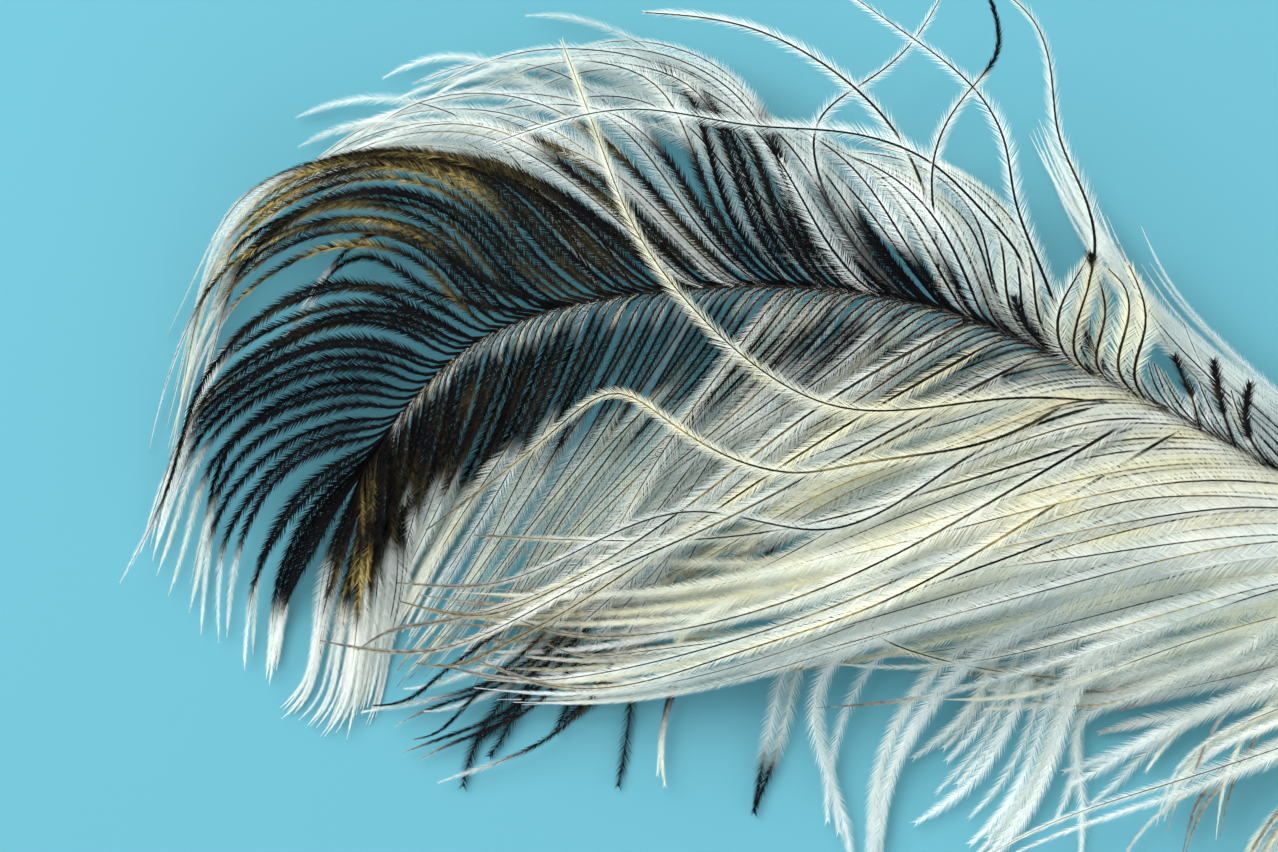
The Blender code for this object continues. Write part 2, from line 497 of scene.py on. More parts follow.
@dataclass
class Shaft:
    """The quill and the rachis that it becomes: a tapered rod along a smooth curve.

    The rachis is slightly flat on top and has a groove along its underside. The bare
    quill is round, narrows to its end and has a small dimple there.
    """

    points: tuple = (
        (-30.5, -4.6, 7.0),
        (-23.5, 4.6, 9.5),
        (-15.3, 10.7, 12.0),
        (-2.1, 14.3, 15.0),
        (14.4, 15.4, 18.0),
        (30.9, 13.3, 20.5),
        (50.7, 5.2, 22.5),
        (70.3, -5.3, 23.8),
        (110.0, -24.5, 24.5),
        (160.0, -45.0, 22.0),
        (210.0, -61.0, 15.5),
        (248.0, -71.0, 8.4),
        (285.0, -79.0, 0.95),
    )
    stations: int = 700
    around: int = 18
    tip_radius: float = 0.16 * MM
    neck_radius: float = 1.55 * MM
    taper_power: float = 1.6
    quill_radius: float = 2.0 * MM
    end_radius: float = 0.9 * MM
    quill_length: float = 52.0 * MM
    end_length: float = 9.0 * MM
    groove: float = 0.30            # its depth, as a share of the radius
    groove_width: float = 0.45      # in radians
    flat: float = 0.10              # the flat on top, in the same way
    flat_width: float = 0.6
    dimple: float = 0.6             # its depth, as a share of the quill's radius
    lip: float = 0.2 * MM           # round the dimple

    def __post_init__(self) -> None:
        """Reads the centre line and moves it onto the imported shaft."""
        path = smooth_curve(np.array(self.points) * MM, self.stations)
        self.from_tip = path_lengths(path)
        self.length = float(self.from_tip[-1])
        self.vane_length = self.length - self.quill_length
        self.radius = self.radius_at(self.from_tip)
        ahead = unit(np.gradient(path, axis=0))
        half = self.radius[:, None] * np.sqrt(np.clip(1 - ahead**2, 0, 1))
        low = (path - half).min(0)
        packed_low = np.array(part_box("shaft")[0])
        self.shift = np.array([*(packed_low - low)[:2], 0.0])
        self.path = path + self.shift

    def radius_at(self, from_tip: Array) -> Array:
        """Works out the radius: a slow swell, the quill, then its point.

        Args:
            from_tip: distances from the tip, in metres.

        Returns:
            The radius at each, in metres.
        """
        rachis = self.tip_radius + (self.neck_radius - self.tip_radius) * (
            np.clip(from_tip / self.vane_length, 0, 1) ** self.taper_power
        )
        swell = ease((from_tip - self.vane_length) / (0.3 * self.quill_length))
        full = rachis + swell * (self.quill_radius - self.neck_radius)
        to_end = ease((self.length - from_tip) / self.end_length)
        return self.end_radius + (full - self.end_radius) * to_end

    def place_at(self, from_tip: Array) -> Array:
        """The centre line's points at distances from the tip."""
        return np.column_stack([np.interp(from_tip, self.from_tip, c) for c in self.path.T])

    def distances_of(self, places: Array) -> Array:
        """How far from the tip the centre line passes nearest to some places in the plan."""
        away = np.linalg.norm(places[:, None] - self.path[None, :, :2], axis=2)
        return self.from_tip[away.argmin(1)]

    def build(self) -> bpy.types.Object:
        """Makes the rod.

        A ring of points goes round the centre line at each station. Its radius is the
        shaft's, less a bell-shaped groove round the lowest angle and a slight flat on
        top, both of which fade out on the bare quill. Two rings inside the end make
        the dimple.

        Returns:
            The rod's object.
        """
        path, radius, from_tip = self.path, self.radius, self.from_tip
        ahead = unit(np.gradient(path, axis=0))
        inward = self.dimple * self.quill_radius
        path = np.vstack([path, path[-1] - ahead[-1] * self.lip, path[-1] - ahead[-1] * inward])
        radius = np.append(radius, [0.55 * radius[-1], 0.25 * radius[-1]])
        from_tip = np.append(from_tip, [self.length, self.length])
        frames = frames_along(self.path)
        left, up = (np.vstack([f, f[-1:], f[-1:]]) for f in frames[1:])
        angle = np.linspace(0, 2 * np.pi, self.around, endpoint=False)
        feathered = ease((self.vane_length - from_tip) / (0.06 * self.length) + 0.5)[:, None]
        below = np.abs(np.angle(np.exp(1j * (angle + np.pi / 2))))
        above = np.abs(np.angle(np.exp(1j * (angle - np.pi / 2))))
        groove = self.groove * np.exp(-((below / self.groove_width) ** 2))
        flat = self.flat * np.exp(-((above / self.flat_width) ** 2))
        share = 1 - feathered * (groove + flat)
        rings = radius[:, None, None] * share[:, :, None] * (
            np.cos(angle)[None, :, None] * left[:, None, :]
            + np.sin(angle)[None, :, None] * up[:, None, :]
        )
        places = path[:, None, :] + rings
        bare = ease((from_tip - self.vane_length) / (0.05 * self.length) + 0.35)[:, None]
        # painted highlight: a band along the top of the shaft that the horn colours browner
        top_highlight = np.broadcast_to(np.exp(-((above / 0.5) ** 2))[None, :], share.shape)
        plumage = np.stack([np.broadcast_to(bare, share.shape), top_highlight, top_highlight * 0], -1)
        spread = np.stack(
            np.broadcast_arrays(
                (from_tip / self.length)[:, None] * 0.98 + 0.01,
                0.02 + 0.96 * np.linspace(0, 1, self.around)[None, :],
            ),
            -1,
        )
        strands = Strands()
        strands.add(places, tube_faces(1, len(path), self.around), plumage, spread)
        return strands.make("quill_and_rachis")


# ---------------------------------------------------------------------------------------
# Barbs
# ---------------------------------------------------------------------------------------


@dataclass(frozen=True)
class Look:
    """How a barb is coloured and feathered. Shares are of its length, from its root."""

    dark_from: float = -0.1         # where its barbules start to be dark
    dark_to: float = 0.2            # and where they stop
    rib: float = 0.5                # how far its rib is dark
    patchy: float = 0.0             # the share of barbs without their dark part
    tipped: float = 0.0             # the share of barbs whose very end is dark
    # the gilding below is partly the barb's own yellow-brown tone, partly painted highlights
    gold_and_highlight: float = 0.1               # how strongly its dark part is gilded
    warm: float = 0.3               # how creamy its pale part is
    reach: float = 1.7              # its longest barbules, in mm
    blade: float = 1.0              # how wide its barbules are, against the usual
    stout: float = 1.0              # how thick its rib is, against the usual
    ribbon: float = 0.45            # how wide its end is, as a share of its middle
    angle: float = 44.0             # how far its barbules open from the rib, in degrees
    fold: float = 25.0              # how far its dark part's two rows are raised, in degrees
    droop: float = -10.0            # the same for its pale part
    lift: float = 5.0               # how far it arches on its way down, in mm
    end: float = 1.5                # how high its end is, in mm
    wander: float = 3.0             # how far it may stray, in degrees


Curve = tuple[tuple[float, float], ...]


@dataclass(frozen=True)
class Guide:
    """A drawn barb seen from above: its look, and points from its root on, in mm."""

    look: Look
    points: Curve


@dataclass(frozen=True)
class Bundle:
    """Barbs that run together: their look, their number and the curves they lie between."""

    look: Look
    count: int
    curves: tuple[Curve, ...]


@dataclass(frozen=True)
class Barbule:
    """How barbules vary and bend: turns in radians, heights in metres and the rest shares."""

    opened: tuple[float, float] = (0.85, 1.15)      # of its barb's angle
    length: tuple[float, float] = (0.75, 1.1)       # of its barb's reach
    lean: float = 0.12                              # out of its row's plane
    roll: float = 0.45                              # about its own length
    forward: float = 0.12                           # how far its point is drawn to the barb's tip
    down: float = 0.05
    tint: float = 0.05                              # how far one differs in colour from the next
    floor: float = 0.05 * MM                        # its lowest height


BARBULE = Barbule()


@dataclass
class Barbs:
    """Many barbs, each a rib with a row of barbules on both sides.

    Arrays have a barb a row. Those with a second axis are read at even steps along it.
    """

    paths: Array            # barb, point, x y z
    lengths: Array          # barb
    rib_radius: Array       # barb, point
    rib_pale: Array         # barb, point
    pale: Array             # barb, point
    # the yellow-brown tone of each point, with its painted highlights
    gold_and_glint: Array           # barb, point
    warm: Array             # barb, point
    reach: Array            # barb, point: how long a barbule is
    width: Array            # barb, point: how wide a barbule is at its foot
    angle: Array            # barb, point: a barbule's angle to its rib, in radians
    fold: Array             # barb, point: how far both rows are raised, in radians
    twist: Array            # barb, point: how the rows are turned about the rib, in radians

    def chosen(self, which: Array) -> "Barbs":
        """Only the barbs that which picks."""
        return Barbs(*(getattr(self, part.name)[which] for part in fields(self)))

    def add_ribs(self, strands: Strands) -> None:
        """Adds each barb's rib: a three-sided tube, round its path, with closed ends.

        Args:
            strands: what they are added to.
        """
        count, rings = self.paths.shape[:2]
        _, left, up = frames_along(self.paths)
        angle = np.array([0.5, 7 / 6, 11 / 6]) * np.pi
        ring = np.cos(angle)[:, None] * left[:, :, None] + np.sin(angle)[:, None] * up[:, :, None]
        places = self.paths[:, :, None] + self.rib_radius[:, :, None, None] * ring
        gilt_and_glint = (0.4 + 1.1 * self.pale) * self.gold_and_glint
        plumage = np.stack([self.rib_pale, gilt_and_glint, self.warm], -1)[:, :, None]
        strip = (np.arange(count)[:, None, None] + np.array([0.42, 0.50, 0.58])) / count
        spread = np.stack(
            np.broadcast_arrays(np.linspace(0.004, 0.996, rings)[None, :, None], strip), -1
        )
        plumage = np.broadcast_to(plumage, places.shape)
        strands.add(places, tube_faces(count, rings, 3), plumage, spread)

    def add_barbules(self, strands: Strands, gap: float, rng: np.random.Generator) -> None:
        """Adds the barbules: narrow blades, each a triangle with its point outwards.

        A blade leaves its rib at the barb's angle, in a plane that is turned about the rib
        by the twist plus or minus the fold. It is rolled at random about its own length,
        and its point is drawn a little towards the barb's tip and down.

        Args:
            strands: what they are added to.
            gap: the distance from one barbule to the next on the same side, in metres.
            rng: where the random numbers come from.
        """
        per_side = np.maximum((self.lengths / gap).astype(int), 2)
        barb = np.repeat(np.arange(len(per_side)), 2 * per_side)
        first = np.concatenate([[0], np.cumsum(2 * per_side)[:-1]])
        number = np.arange(len(barb)) - first[barb]
        side = np.where(number % 2, 1.0, -1.0)
        share = (number // 2 + rng.uniform(0.15, 0.85, len(barb))) / per_side[barb]
        share = np.clip(share, 0.004, 0.996)

        steps = self.paths.shape[1] - 1
        low = np.minimum((share * steps).astype(int), steps - 1)
        part = share * steps - low

        def read(values: Array) -> Array:
            """The values at each barbule's foot."""
            here, there = values[barb, low], values[barb, low + 1]
            weight = part.reshape(-1, *[1] * (here.ndim - 1))
            return here * (1 - weight) + there * weight

        ahead, left, up = (unit(read(f)) for f in frames_along(self.paths))
        foot = read(self.paths)
        turned = (read(self.twist) + side * read(self.fold))[:, None]
        across = (np.cos(turned) * left + np.sin(turned) * up) * side[:, None]
        over = np.cross(across, ahead) * -side[:, None]
        angle = read(self.angle) * rng.uniform(*BARBULE.opened, len(barb))
        reach = (read(self.reach) * rng.uniform(*BARBULE.length, len(barb)))[:, None]
        lean = rng.normal(0.0, BARBULE.lean, len(barb))[:, None]
        way = unit(
            np.cos(angle)[:, None] * ahead + np.sin(angle)[:, None] * across + lean * over
        )
        roll = rng.normal(0.0, BARBULE.roll, len(barb))[:, None]
        level = unit(over - (over * way).sum(1, keepdims=True) * way)
        flat = np.cross(way, level)
        half = read(self.width)[:, None] / 2
        blade = (np.cos(roll) * flat + np.sin(roll) * level) * half
        bend = ahead * BARBULE.forward - np.array([0.0, 0.0, BARBULE.down])
        places = np.stack([foot - blade, foot + blade, foot + (way + bend) * reach], 1)
        places[..., 2] = np.maximum(places[..., 2], BARBULE.floor)

        tint = rng.normal(0.0, BARBULE.tint, len(barb))
        pale = np.clip(read(self.pale) * (1 + 1.5 * tint), 0, 1)[:, None] + np.zeros(3)
        # painted highlight: barbules on one side of their barb, and their points most, get more of the
        # yellow-brown tone, as if lit from that side
        lit = np.clip(rng.normal(0.75, 0.45, len(barb)) + 0.35 * side, 0.0, 1.6)
        gold_and_glint = (read(self.gold_and_glint) * lit)[:, None] * [0.5, 0.5, 1.0]
        warm = np.broadcast_to((read(self.warm) - tint)[:, None], pale.shape)
        plumage = np.stack([pale, gold_and_glint, warm], -1)
        strip = (barb[:, None] + 0.5 + np.array([0.07, 0.07, 0.46]) * side[:, None]) / len(per_side)
        step = np.array([-0.5, 0.5, 0.6]) / per_side[barb][:, None]
        spread = np.stack([np.clip(share[:, None] + step, 0.001, 0.999), strip], -1)
        point = np.arange(3 * len(barb)).reshape(-1, 3)
        strands.add(places, [point], plumage, spread)


@dataclass
class Plumage:
    """What all barbs share: sizes, and how a plan and a look become ribs and barbules."""

    points: int = 32
    root_radius: float = 0.23 * MM
    rib_radius: float = 0.14 * MM       # past the root's flare
    end_radius: float = 0.04 * MM
    flare: float = 8.0 * MM
    lowest: float = 0.35 * MM
    level: float = 26.0 * MM            # above this, heights are pressed together
    headroom: float = 6.0 * MM          # and they come no further than this above it
    foot: float = 4.0 * MM              # how far a barb leans towards the shaft's tip
    lean: float = 0.6                   # and how strongly
    fledged: float = 6.5 * MM           # past this, barbules have their full length
    shortest: float = 0.28              # and how long they are at the root, as a share
    raised: float = 60.0                # how steeply they stand at the root, in degrees
    laid: float = 8.0 * MM              # past this, they lie as their look says
    pale_width: float = 0.085 * MM      # a pale barbule at its foot
    dark_width: float = 0.145 * MM
    browned_from: float = 0.74          # where a barb's end starts to brown, as a share

    def drawn(self, curves: list[Curve]) -> Array:
        """Smooth curves through drawn points, at even steps in metres, one a row."""
        return np.array([smooth_curve(np.array(points) * MM, self.points) for points in curves])

    def footed(self, plan: Array, tipward: Array) -> Array:
        """Makes barbs leave the shaft slantwise: their first steps lean towards its tip.

        Args:
            plan: curves seen from above, one a row, from their roots on.
            tipward: the unit vector along the shaft to its tip at each root.

        Returns:
            The curves, with the same roots.
        """
        step = np.diff(plan, axis=1)
        size = np.linalg.norm(step, axis=2)
        along = np.cumsum(size, 1) - size / 2
        lean = self.lean * (1 - ease(along / self.foot))[..., None]
        leaning = unit(unit(step) * (1 - lean) + tipward[:, None] * lean) * size[..., None]
        moved = plan.copy()
        moved[:, 1:] = plan[:, :1] + np.cumsum(leaning, 1)
        return moved

    def strayed(self, plan: Array, wander: Array, rng: np.random.Generator) -> Array:
        """Turns each step of each plan by a slow wave and by an angle of its own.

        Args:
            plan: curves seen from above, one a row, from their roots on.
            wander: how far each may stray, in degrees.
            rng: where the random numbers come from.

        Returns:
            The curves, with the same roots and the same lengths.
        """
        share = np.linspace(0.0, 1.0, self.points - 1)
        phase = rng.uniform(0, 2 * np.pi, (3, len(plan), 1))
        wave = np.sin(phase[0] + 4.0 * share) + 0.6 * np.sin(phase[1] + 9.0 * share)
        own = rng.normal(0.0, 0.6, (len(plan), 1))
        turn = np.radians(wander[:, None]) * ease(share * 1.8) * (wave + own)
        step = np.diff(plan, axis=1)
        cosine, sine = np.cos(turn), np.sin(turn)
        turned = np.stack(
            [
                step[..., 0] * cosine - step[..., 1] * sine,
                step[..., 0] * sine + step[..., 1] * cosine,
            ],
            -1,
        )
        moved = plan.copy()
        moved[:, 1:] = plan[:, :1] + np.cumsum(turned, 1)
        return moved

    def grow(self, plan: Array, root_height: Array, looks: Array, rng: np.random.Generator) -> Barbs:
        """Gives plans a height, ribs and barbules.

        Barbules grow to their full length over a barb's first few millimetres, and they
        shrink and close up towards its tip, where it is a slender ribbon.

        Args:
            plan: curves seen from above, one a row, from their roots on, in metres.
            root_height: each root's height, in metres.
            looks: each barb's look as a row of numbers.
            rng: where the random numbers come from.

        Returns:
            The barbs.
        """
        count = len(plan)
        look = Look(*looks.T[:, :, None])
        share = np.linspace(0.0, 1.0, self.points)[None, :]
        paths = np.dstack([plan, self.heights(root_height, look, share, rng)])
        lengths = np.linalg.norm(np.diff(paths, axis=1), axis=2).sum(1)
        along = share * lengths[:, None]
        pale, rib_pale, gilding_and_glints = self.colours(look, share, count, rng)
        slim = 1 - (1 - look.ribbon) * ease((share - 0.35) / 0.6)
        slim = slim * (1 - (0.95 - 0.5 * look.ribbon) * ease((share - 0.92) / 0.08))
        grown = self.shortest + (1 - self.shortest) * ease(along / self.fledged)
        shorter = 1 - 0.3 * (1 - pale)
        phase = rng.uniform(0, 2 * np.pi, (count, 1))
        twist = 0.4 * np.sin(phase + 5.0 * share) + rng.normal(0.0, 0.15, (count, 1))
        closing = 0.75 * ease((share - 0.5) / 0.5) + 0.4 * ease((share - 0.88) / 0.12)
        closing = np.maximum(1.1 - 0.2 * share - (1 - look.ribbon) * closing, 0.15)
        fold = look.fold * (1 - pale) + look.droop * pale
        upright = self.raised - (self.raised - fold) * ease(along / self.laid)
        radius = self.end_radius + (self.rib_radius - self.end_radius) * (1 - share)
        flare = (self.root_radius - self.rib_radius) * np.exp(-along / self.flare)
        warm = look.warm * 2.6 * rng.uniform(0.1, 1.0, (count, 1)) ** 2
        return Barbs(
            paths=paths,
            lengths=lengths,
            rib_radius=(radius + flare) * look.stout,
            rib_pale=rib_pale,
            pale=pale,
            gold_and_glint=look.gold_and_highlight * gilding_and_glints,
            warm=np.broadcast_to(warm, (count, self.points)),
            reach=look.reach * MM * grown * slim * shorter,
            width=(self.pale_width + (self.dark_width - self.pale_width) * (1 - pale)) * look.blade,
            angle=np.radians(look.angle) * closing,
            fold=np.radians(upright),
            twist=twist,
        )

    def heights(self, root: Array, look: Look, share: Array, rng: np.random.Generator) -> Array:
        """How high barbs run.

        A barb falls smoothly from its root's height to its end's, plus an arch as high as
        its lift and a small layer of its own. What is above a level is pressed together.

        Args:
            root: each root's height, in metres.
            look: the looks, each number a column with a barb a row.
            share: where the points are, as shares of their barb's length.
            rng: where the random numbers come from.

        Returns:
            Each point's height in metres, with a barb a row.
        """
        count = len(root)
        fall = ease(share**0.9)
        arch = np.sin(np.pi * share**0.75) ** 2
        own = rng.uniform(0.6, 1.4, (2, count, 1))
        layer = rng.normal(0.0, 1.2, (count, 1)) * np.sin(np.pi * share)
        height = root[:, None] * (1 - fall) + look.end * own[0] * MM * fall
        height = height + (look.lift * own[1] * arch + layer) * MM
        over = np.maximum(height - self.level, 0.0)
        pressed = self.headroom * (1 - np.exp(-over / self.headroom))
        return np.maximum(np.minimum(height, self.level) + pressed, self.lowest)

    def colours(
        self, look: Look, share: Array, count: int, rng: np.random.Generator
    ) -> tuple[Array, Array, Array]:
        """How pale and how gilded barbs are.

        A barb is dark between two soft edges, which differ a little from barb to barb. Some barbs are
        spared their dark part, and some are browned at the very end. The gilding, a yellow-brown tone
        with painted glints, swells and fades in waves about the middle of a barb.

        Args:
            look: the looks, each number a column with a barb a row.
            share: where the points are, as shares of their barb's length.
            count: how many barbs there are.
            rng: where the random numbers come from.

        Returns:
            How pale the barbules and the ribs are, and how gilded both are with the tone and its painted
            glints, a barb a row.
        """
        shift = rng.normal(0.0, 0.012, (count, 1)) * (1 + look.wander)
        chance = rng.uniform(0, 1, (2, count, 1))
        past = ease((share - look.dark_to + shift) / 0.12 + 0.5)
        before = 1 - ease((share - look.dark_from + 0.3 * shift) / 0.06 + 0.5)
        spared = ease((chance[0] + look.patchy - 1) / 0.1 + 0.5) * (look.patchy > 0)
        pale = np.maximum(np.maximum(past, 0.75 * before), spared)
        tipped = ease((chance[1] + look.tipped - 1) / 0.1 + 0.5) * (look.tipped > 0)
        browned = tipped * ease((share - self.browned_from + 2 * shift) / 0.2)
        pale = pale * (1 - 0.8 * browned)
        rib_pale = np.minimum(0.9 * ease((share - look.rib + 3 * shift) / 0.25 + 0.5), pale)
        rib_pale = np.where(share < look.rib - 3 * shift, 0.0, rib_pale)
        # painted glints: the yellow-brown tone swells and fades in waves along each barb
        glint = 0.6 + 0.6 * np.sin(rng.uniform(0, 2 * np.pi, (count, 1)) + 22.0 * share)
        gilding_and_glints = np.exp(-(((share - 0.48) / 0.27) ** 2)) * rng.uniform(0.0, 1.7, (count, 1)) * glint
        return pale, rib_pale, np.maximum(gilding_and_glints, browned)


TIP = Look(
    -0.1, 0.54, 0.6, gold_and_highlight=2.8, warm=0.1, reach=1.5, ribbon=0.4, fold=36, lift=1.5, end=1.5, wander=1.5,
)
FROST = Look(
    -0.1, 0.42, 0.7, gold_and_highlight=0.3, warm=0.1, reach=1.6, ribbon=0.4, fold=40, lift=0.5, end=0.8, wander=1.5,
)
FAN = Look(-0.1, 0.74, 0.76, gold_and_highlight=0, warm=0.2, reach=2.2, ribbon=0.4, fold=30, lift=2, wander=2)
ARCH = Look(-0.1, 0.68, 0.72, gold_and_highlight=0.35, warm=0.2, reach=2.1, ribbon=0.3, fold=40, lift=4, wander=2.5)
GILT = Look(-0.1, 0.70, 0.74, gold_and_highlight=1.8, warm=0.3, reach=2.1, ribbon=0.2, fold=42, lift=6, wander=3)
CREST = Look(
    -0.1, 0.50, 0.85, patchy=0.12, gold_and_highlight=0.5, warm=0.1, reach=2.1, ribbon=0.4, fold=32, lift=7, wander=4,
)
CLOUD = Look(
    -0.1, 0.47, 0.95, patchy=0.08, gold_and_highlight=0.05, warm=0.1, reach=2.1, stout=1.2, fold=30, lift=8, end=3,
    wander=4,
)
STREAK = Look(
    -0.1, 0.30, 1.2, patchy=0.25, gold_and_highlight=0, warm=0.2, reach=2.0, stout=1.4, fold=35, lift=8, end=3,
)
LACE = Look(0.0, 0.12, 1.2, patchy=0.5, gold_and_highlight=0, warm=0.3, reach=1.9, stout=1.5, fold=35, lift=8, end=3)
KNOT = Look(0.02, 0.1, 1.2, patchy=0.5, gold_and_highlight=0, warm=0.4, reach=1.8, stout=1.5, fold=35, lift=8, end=4)
GAUZE = Look(0.03, 0.08, 1.4, patchy=0.8, gold_and_highlight=0, reach=1.5, stout=1.3, fold=20, lift=2, end=18)
VEIL = Look(
    0, 0, 0.4, patchy=1, gold_and_highlight=0, warm=0.1, reach=1.7, blade=0.5, ribbon=0.4, droop=0, lift=2, end=4,
)
CURTAIN = Look(0.07, 0.53, 0.6, gold_and_highlight=0.25, warm=0.6, reach=2.3, fold=40, lift=2, wander=2.5)
SHADE = Look(0.06, 0.47, 0.9, gold_and_highlight=0.1, warm=0.3, reach=2.2, blade=0.9, fold=36, lift=4, wander=4)
DUSK = Look(
    0.06, 0.38, 1.1, patchy=0.1, gold_and_highlight=0.3, warm=0.5, reach=1.9, blade=0.45, fold=32, lift=4, wander=6,
)
PATCH = Look(
    0.08, 0.30, 1.1, patchy=0.35, gold_and_highlight=0.3, warm=0.5, reach=1.9, blade=0.45, fold=36, lift=5, wander=6,
)
CREAM = Look(
    0.02, 0.06, 0.8, patchy=1, tipped=1.1, gold_and_highlight=1.2, warm=0.7, reach=2.2, ribbon=0.4, lift=8, end=4,
    wander=6,
)
SWEEP = Look(
    0.02, 0.04, 0.5, patchy=1, tipped=0.85, gold_and_highlight=1.2, warm=0.55, reach=2.5, ribbon=0.4, lift=11, end=5,
    wander=4,
)
SNOW = Look(
    0.02, 0.03, 0.35, patchy=1, gold_and_highlight=0.2, warm=0.15, reach=2.6, ribbon=0.85, lift=8, end=2, wander=5,
)
DOWN = Look(0.01, 0.02, 0.2, patchy=1, gold_and_highlight=0, warm=0.4, reach=2.5, ribbon=0.85, lift=5, end=1, wander=12)

RIGHT_GUIDES = (
    Guide(FAN, ((-30.5, -4.6), (-33.8, -9.5), (-36.6, -14.5), (-38.8, -19), (-40, -23), (-40.8, -28.3))),
    Guide(FAN, ((-29.8, -3.4), (-34.5, -8), (-38.5, -13.5), (-40.6, -18), (-41.4, -22), (-42.4, -27.5))),
    Guide(FAN, ((-27.9, -0.4), (-32.3, -2.4), (-37, -5.5), (-41, -11), (-42.8, -16), (-43.8, -25.5))),
    Guide(FAN, ((-27.6, -0.1), (-31.8, -0.7), (-37, -2.5), (-41.5, -6.5), (-43.8, -12), (-46.3, -23))),
    Guide(FAN,
          ((-26.1, 1.4), (-31.2, 0.9), (-37.5, -1), (-43, -6), (-47, -12), (-47.8, -18), (-47.2, -24.5))),
    Guide(FAN,
          ((-25.7, 1.8), (-30.7, 2.6), (-37, 1.3), (-43.3, -1.3), (-47.6, -6), (-50, -13), (-52, -19))),
    Guide(FAN,
          ((-23.5, 4.6), (-28, 6.6), (-34, 6.8), (-41.7, 3.7), (-47, -2), (-49, -8.5), (-51.4, -16.4))),
    Guide(FAN, ((-23, 5.1), (-27.4, 7.5), (-33, 8), (-42, 4.7), (-48, -1), (-51.5, -8.5), (-53.6, -14))),
    Guide(FAN,
          ((-20.2, 7.6), (-25, 9.8), (-31.8, 11), (-40.6, 7.6), (-48.4, 1), (-51.6, -6.5),
           (-53.4, -13.5))),
    Guide(ARCH,
          ((-19.8, 7.9), (-24.5, 11.2), (-31, 12.5), (-39.5, 9.2), (-47.4, 3.5), (-51, -4),
           (-53, -11.5))),
    Guide(ARCH,
          ((-16.1, 10.1), (-22.5, 13.3), (-30, 14.8), (-38.5, 12.7), (-46.5, 7), (-50, 0), (-52.5, -10))),
    Guide(GILT,
          ((-15.3, 10.7), (-19, 14.2), (-23.5, 18.8), (-31, 20.8), (-38.5, 19), (-45, 14.5), (-48.6, 8.5),
           (-50, 0))),
    Guide(GILT,
          ((-10.9, 12.3), (-15, 15.3), (-21.3, 22.1), (-30, 25), (-38.5, 23.5), (-45.8, 18), (-49, 10),
           (-52, -4))),
    Guide(GILT,
          ((-4.3, 13.9), (-10.5, 18.6), (-17, 25.8), (-26, 29.4), (-36, 27.8), (-44.5, 22.5), (-48.5, 14),
           (-51.5, 1))),
    Guide(GILT,
          ((0.7, 14.6), (-6, 20), (-14, 27.4), (-24, 30.8), (-36, 30.6), (-45, 27), (-49.4, 19.5),
           (-52.7, 10))),
    Guide(CREST, ((6.4, 15.2), (0, 20.7), (-8, 26.8), (-18, 31.5), (-27, 31.2), (-35, 28), (-41, 24))),
    Guide(CREST, ((12.2, 15.4), (5.5, 21.3), (-2, 28.9), (-11, 34.3), (-21, 36), (-30, 34), (-37, 29))),
    Guide(CLOUD, ((17.2, 15.2), (11.5, 21), (7.4, 30), (3, 38), (-5.4, 40.5), (-15, 39.7), (-24, 36))),
    Guide(CLOUD, ((22.1, 14.9), (18, 21.5), (15, 30.5), (11, 38), (3, 42.7), (-4.5, 43), (-11, 40.5))),
    Guide(STREAK, ((28.2, 13.9), (22, 19.8), (17, 28), (12, 35), (4, 39.5), (-4, 40), (-9, 38))),
    Guide(STREAK, ((34, 12.2), (28, 19), (22.5, 26.5), (16, 32.5), (7, 35.2), (-1, 34.2))),
    Guide(LACE, ((39.7, 10.1), (37, 17), (32.5, 25), (26, 30), (18, 31.8), (9, 30.3))),
    Guide(LACE, ((44.1, 8), (40.4, 13), (39.5, 20), (34, 27), (23, 31))),
    Guide(KNOT, ((45.5, 7.3), (42.8, 11), (42.4, 16), (39, 23.5), (32, 29.5), (24, 32))),
    Guide(KNOT, ((47.5, 6.4), (43.4, 12), (43, 19), (38, 27), (29, 32.5))),
    Guide(GAUZE, ((48.6, 5.8), (45.5, 9.5), (43.4, 14), (42, 17))),
    Guide(GAUZE, ((52.6, 4), (50, 7.5), (50, 12))),
    Guide(GAUZE, ((58.5, 1), (56, 4), (54.5, 8))),
    Guide(GAUZE, ((64.5, -2.3), (62, 1.5), (60.5, 5.5))),
    Guide(GAUZE, ((70.3, -5.3), (67.5, -1), (66, 3))),
    Guide(VEIL, ((78, -9.2), (71, -1), (64, 5.5), (57.5, 11.5), (52, 18), (47.5, 26), (44.5, 33))),
    Guide(VEIL, ((90, -15), (81, -8), (71, 1.5), (62, 9), (54.5, 16), (48.5, 24), (45.5, 31))),
    Guide(VEIL, ((98, -19), (88, -11), (79, -3.5), (72, 1), (67, 4))),
    Guide(VEIL, ((120, -28.8), (112, -20), (101, -10), (90, -3.5), (82, 0))),
    Guide(SNOW, ((155, -43), (148, -31), (137, -19), (124, -9), (110, -2), (97, 2))),
    Guide(SNOW, ((200, -58), (197, -44), (189, -31), (177, -20), (163, -14))),
    Guide(DOWN, ((222, -64), (219, -52), (211, -41), (200, -34))),
    Guide(DOWN, ((236, -67.8), (234, -58), (229, -51))),
)

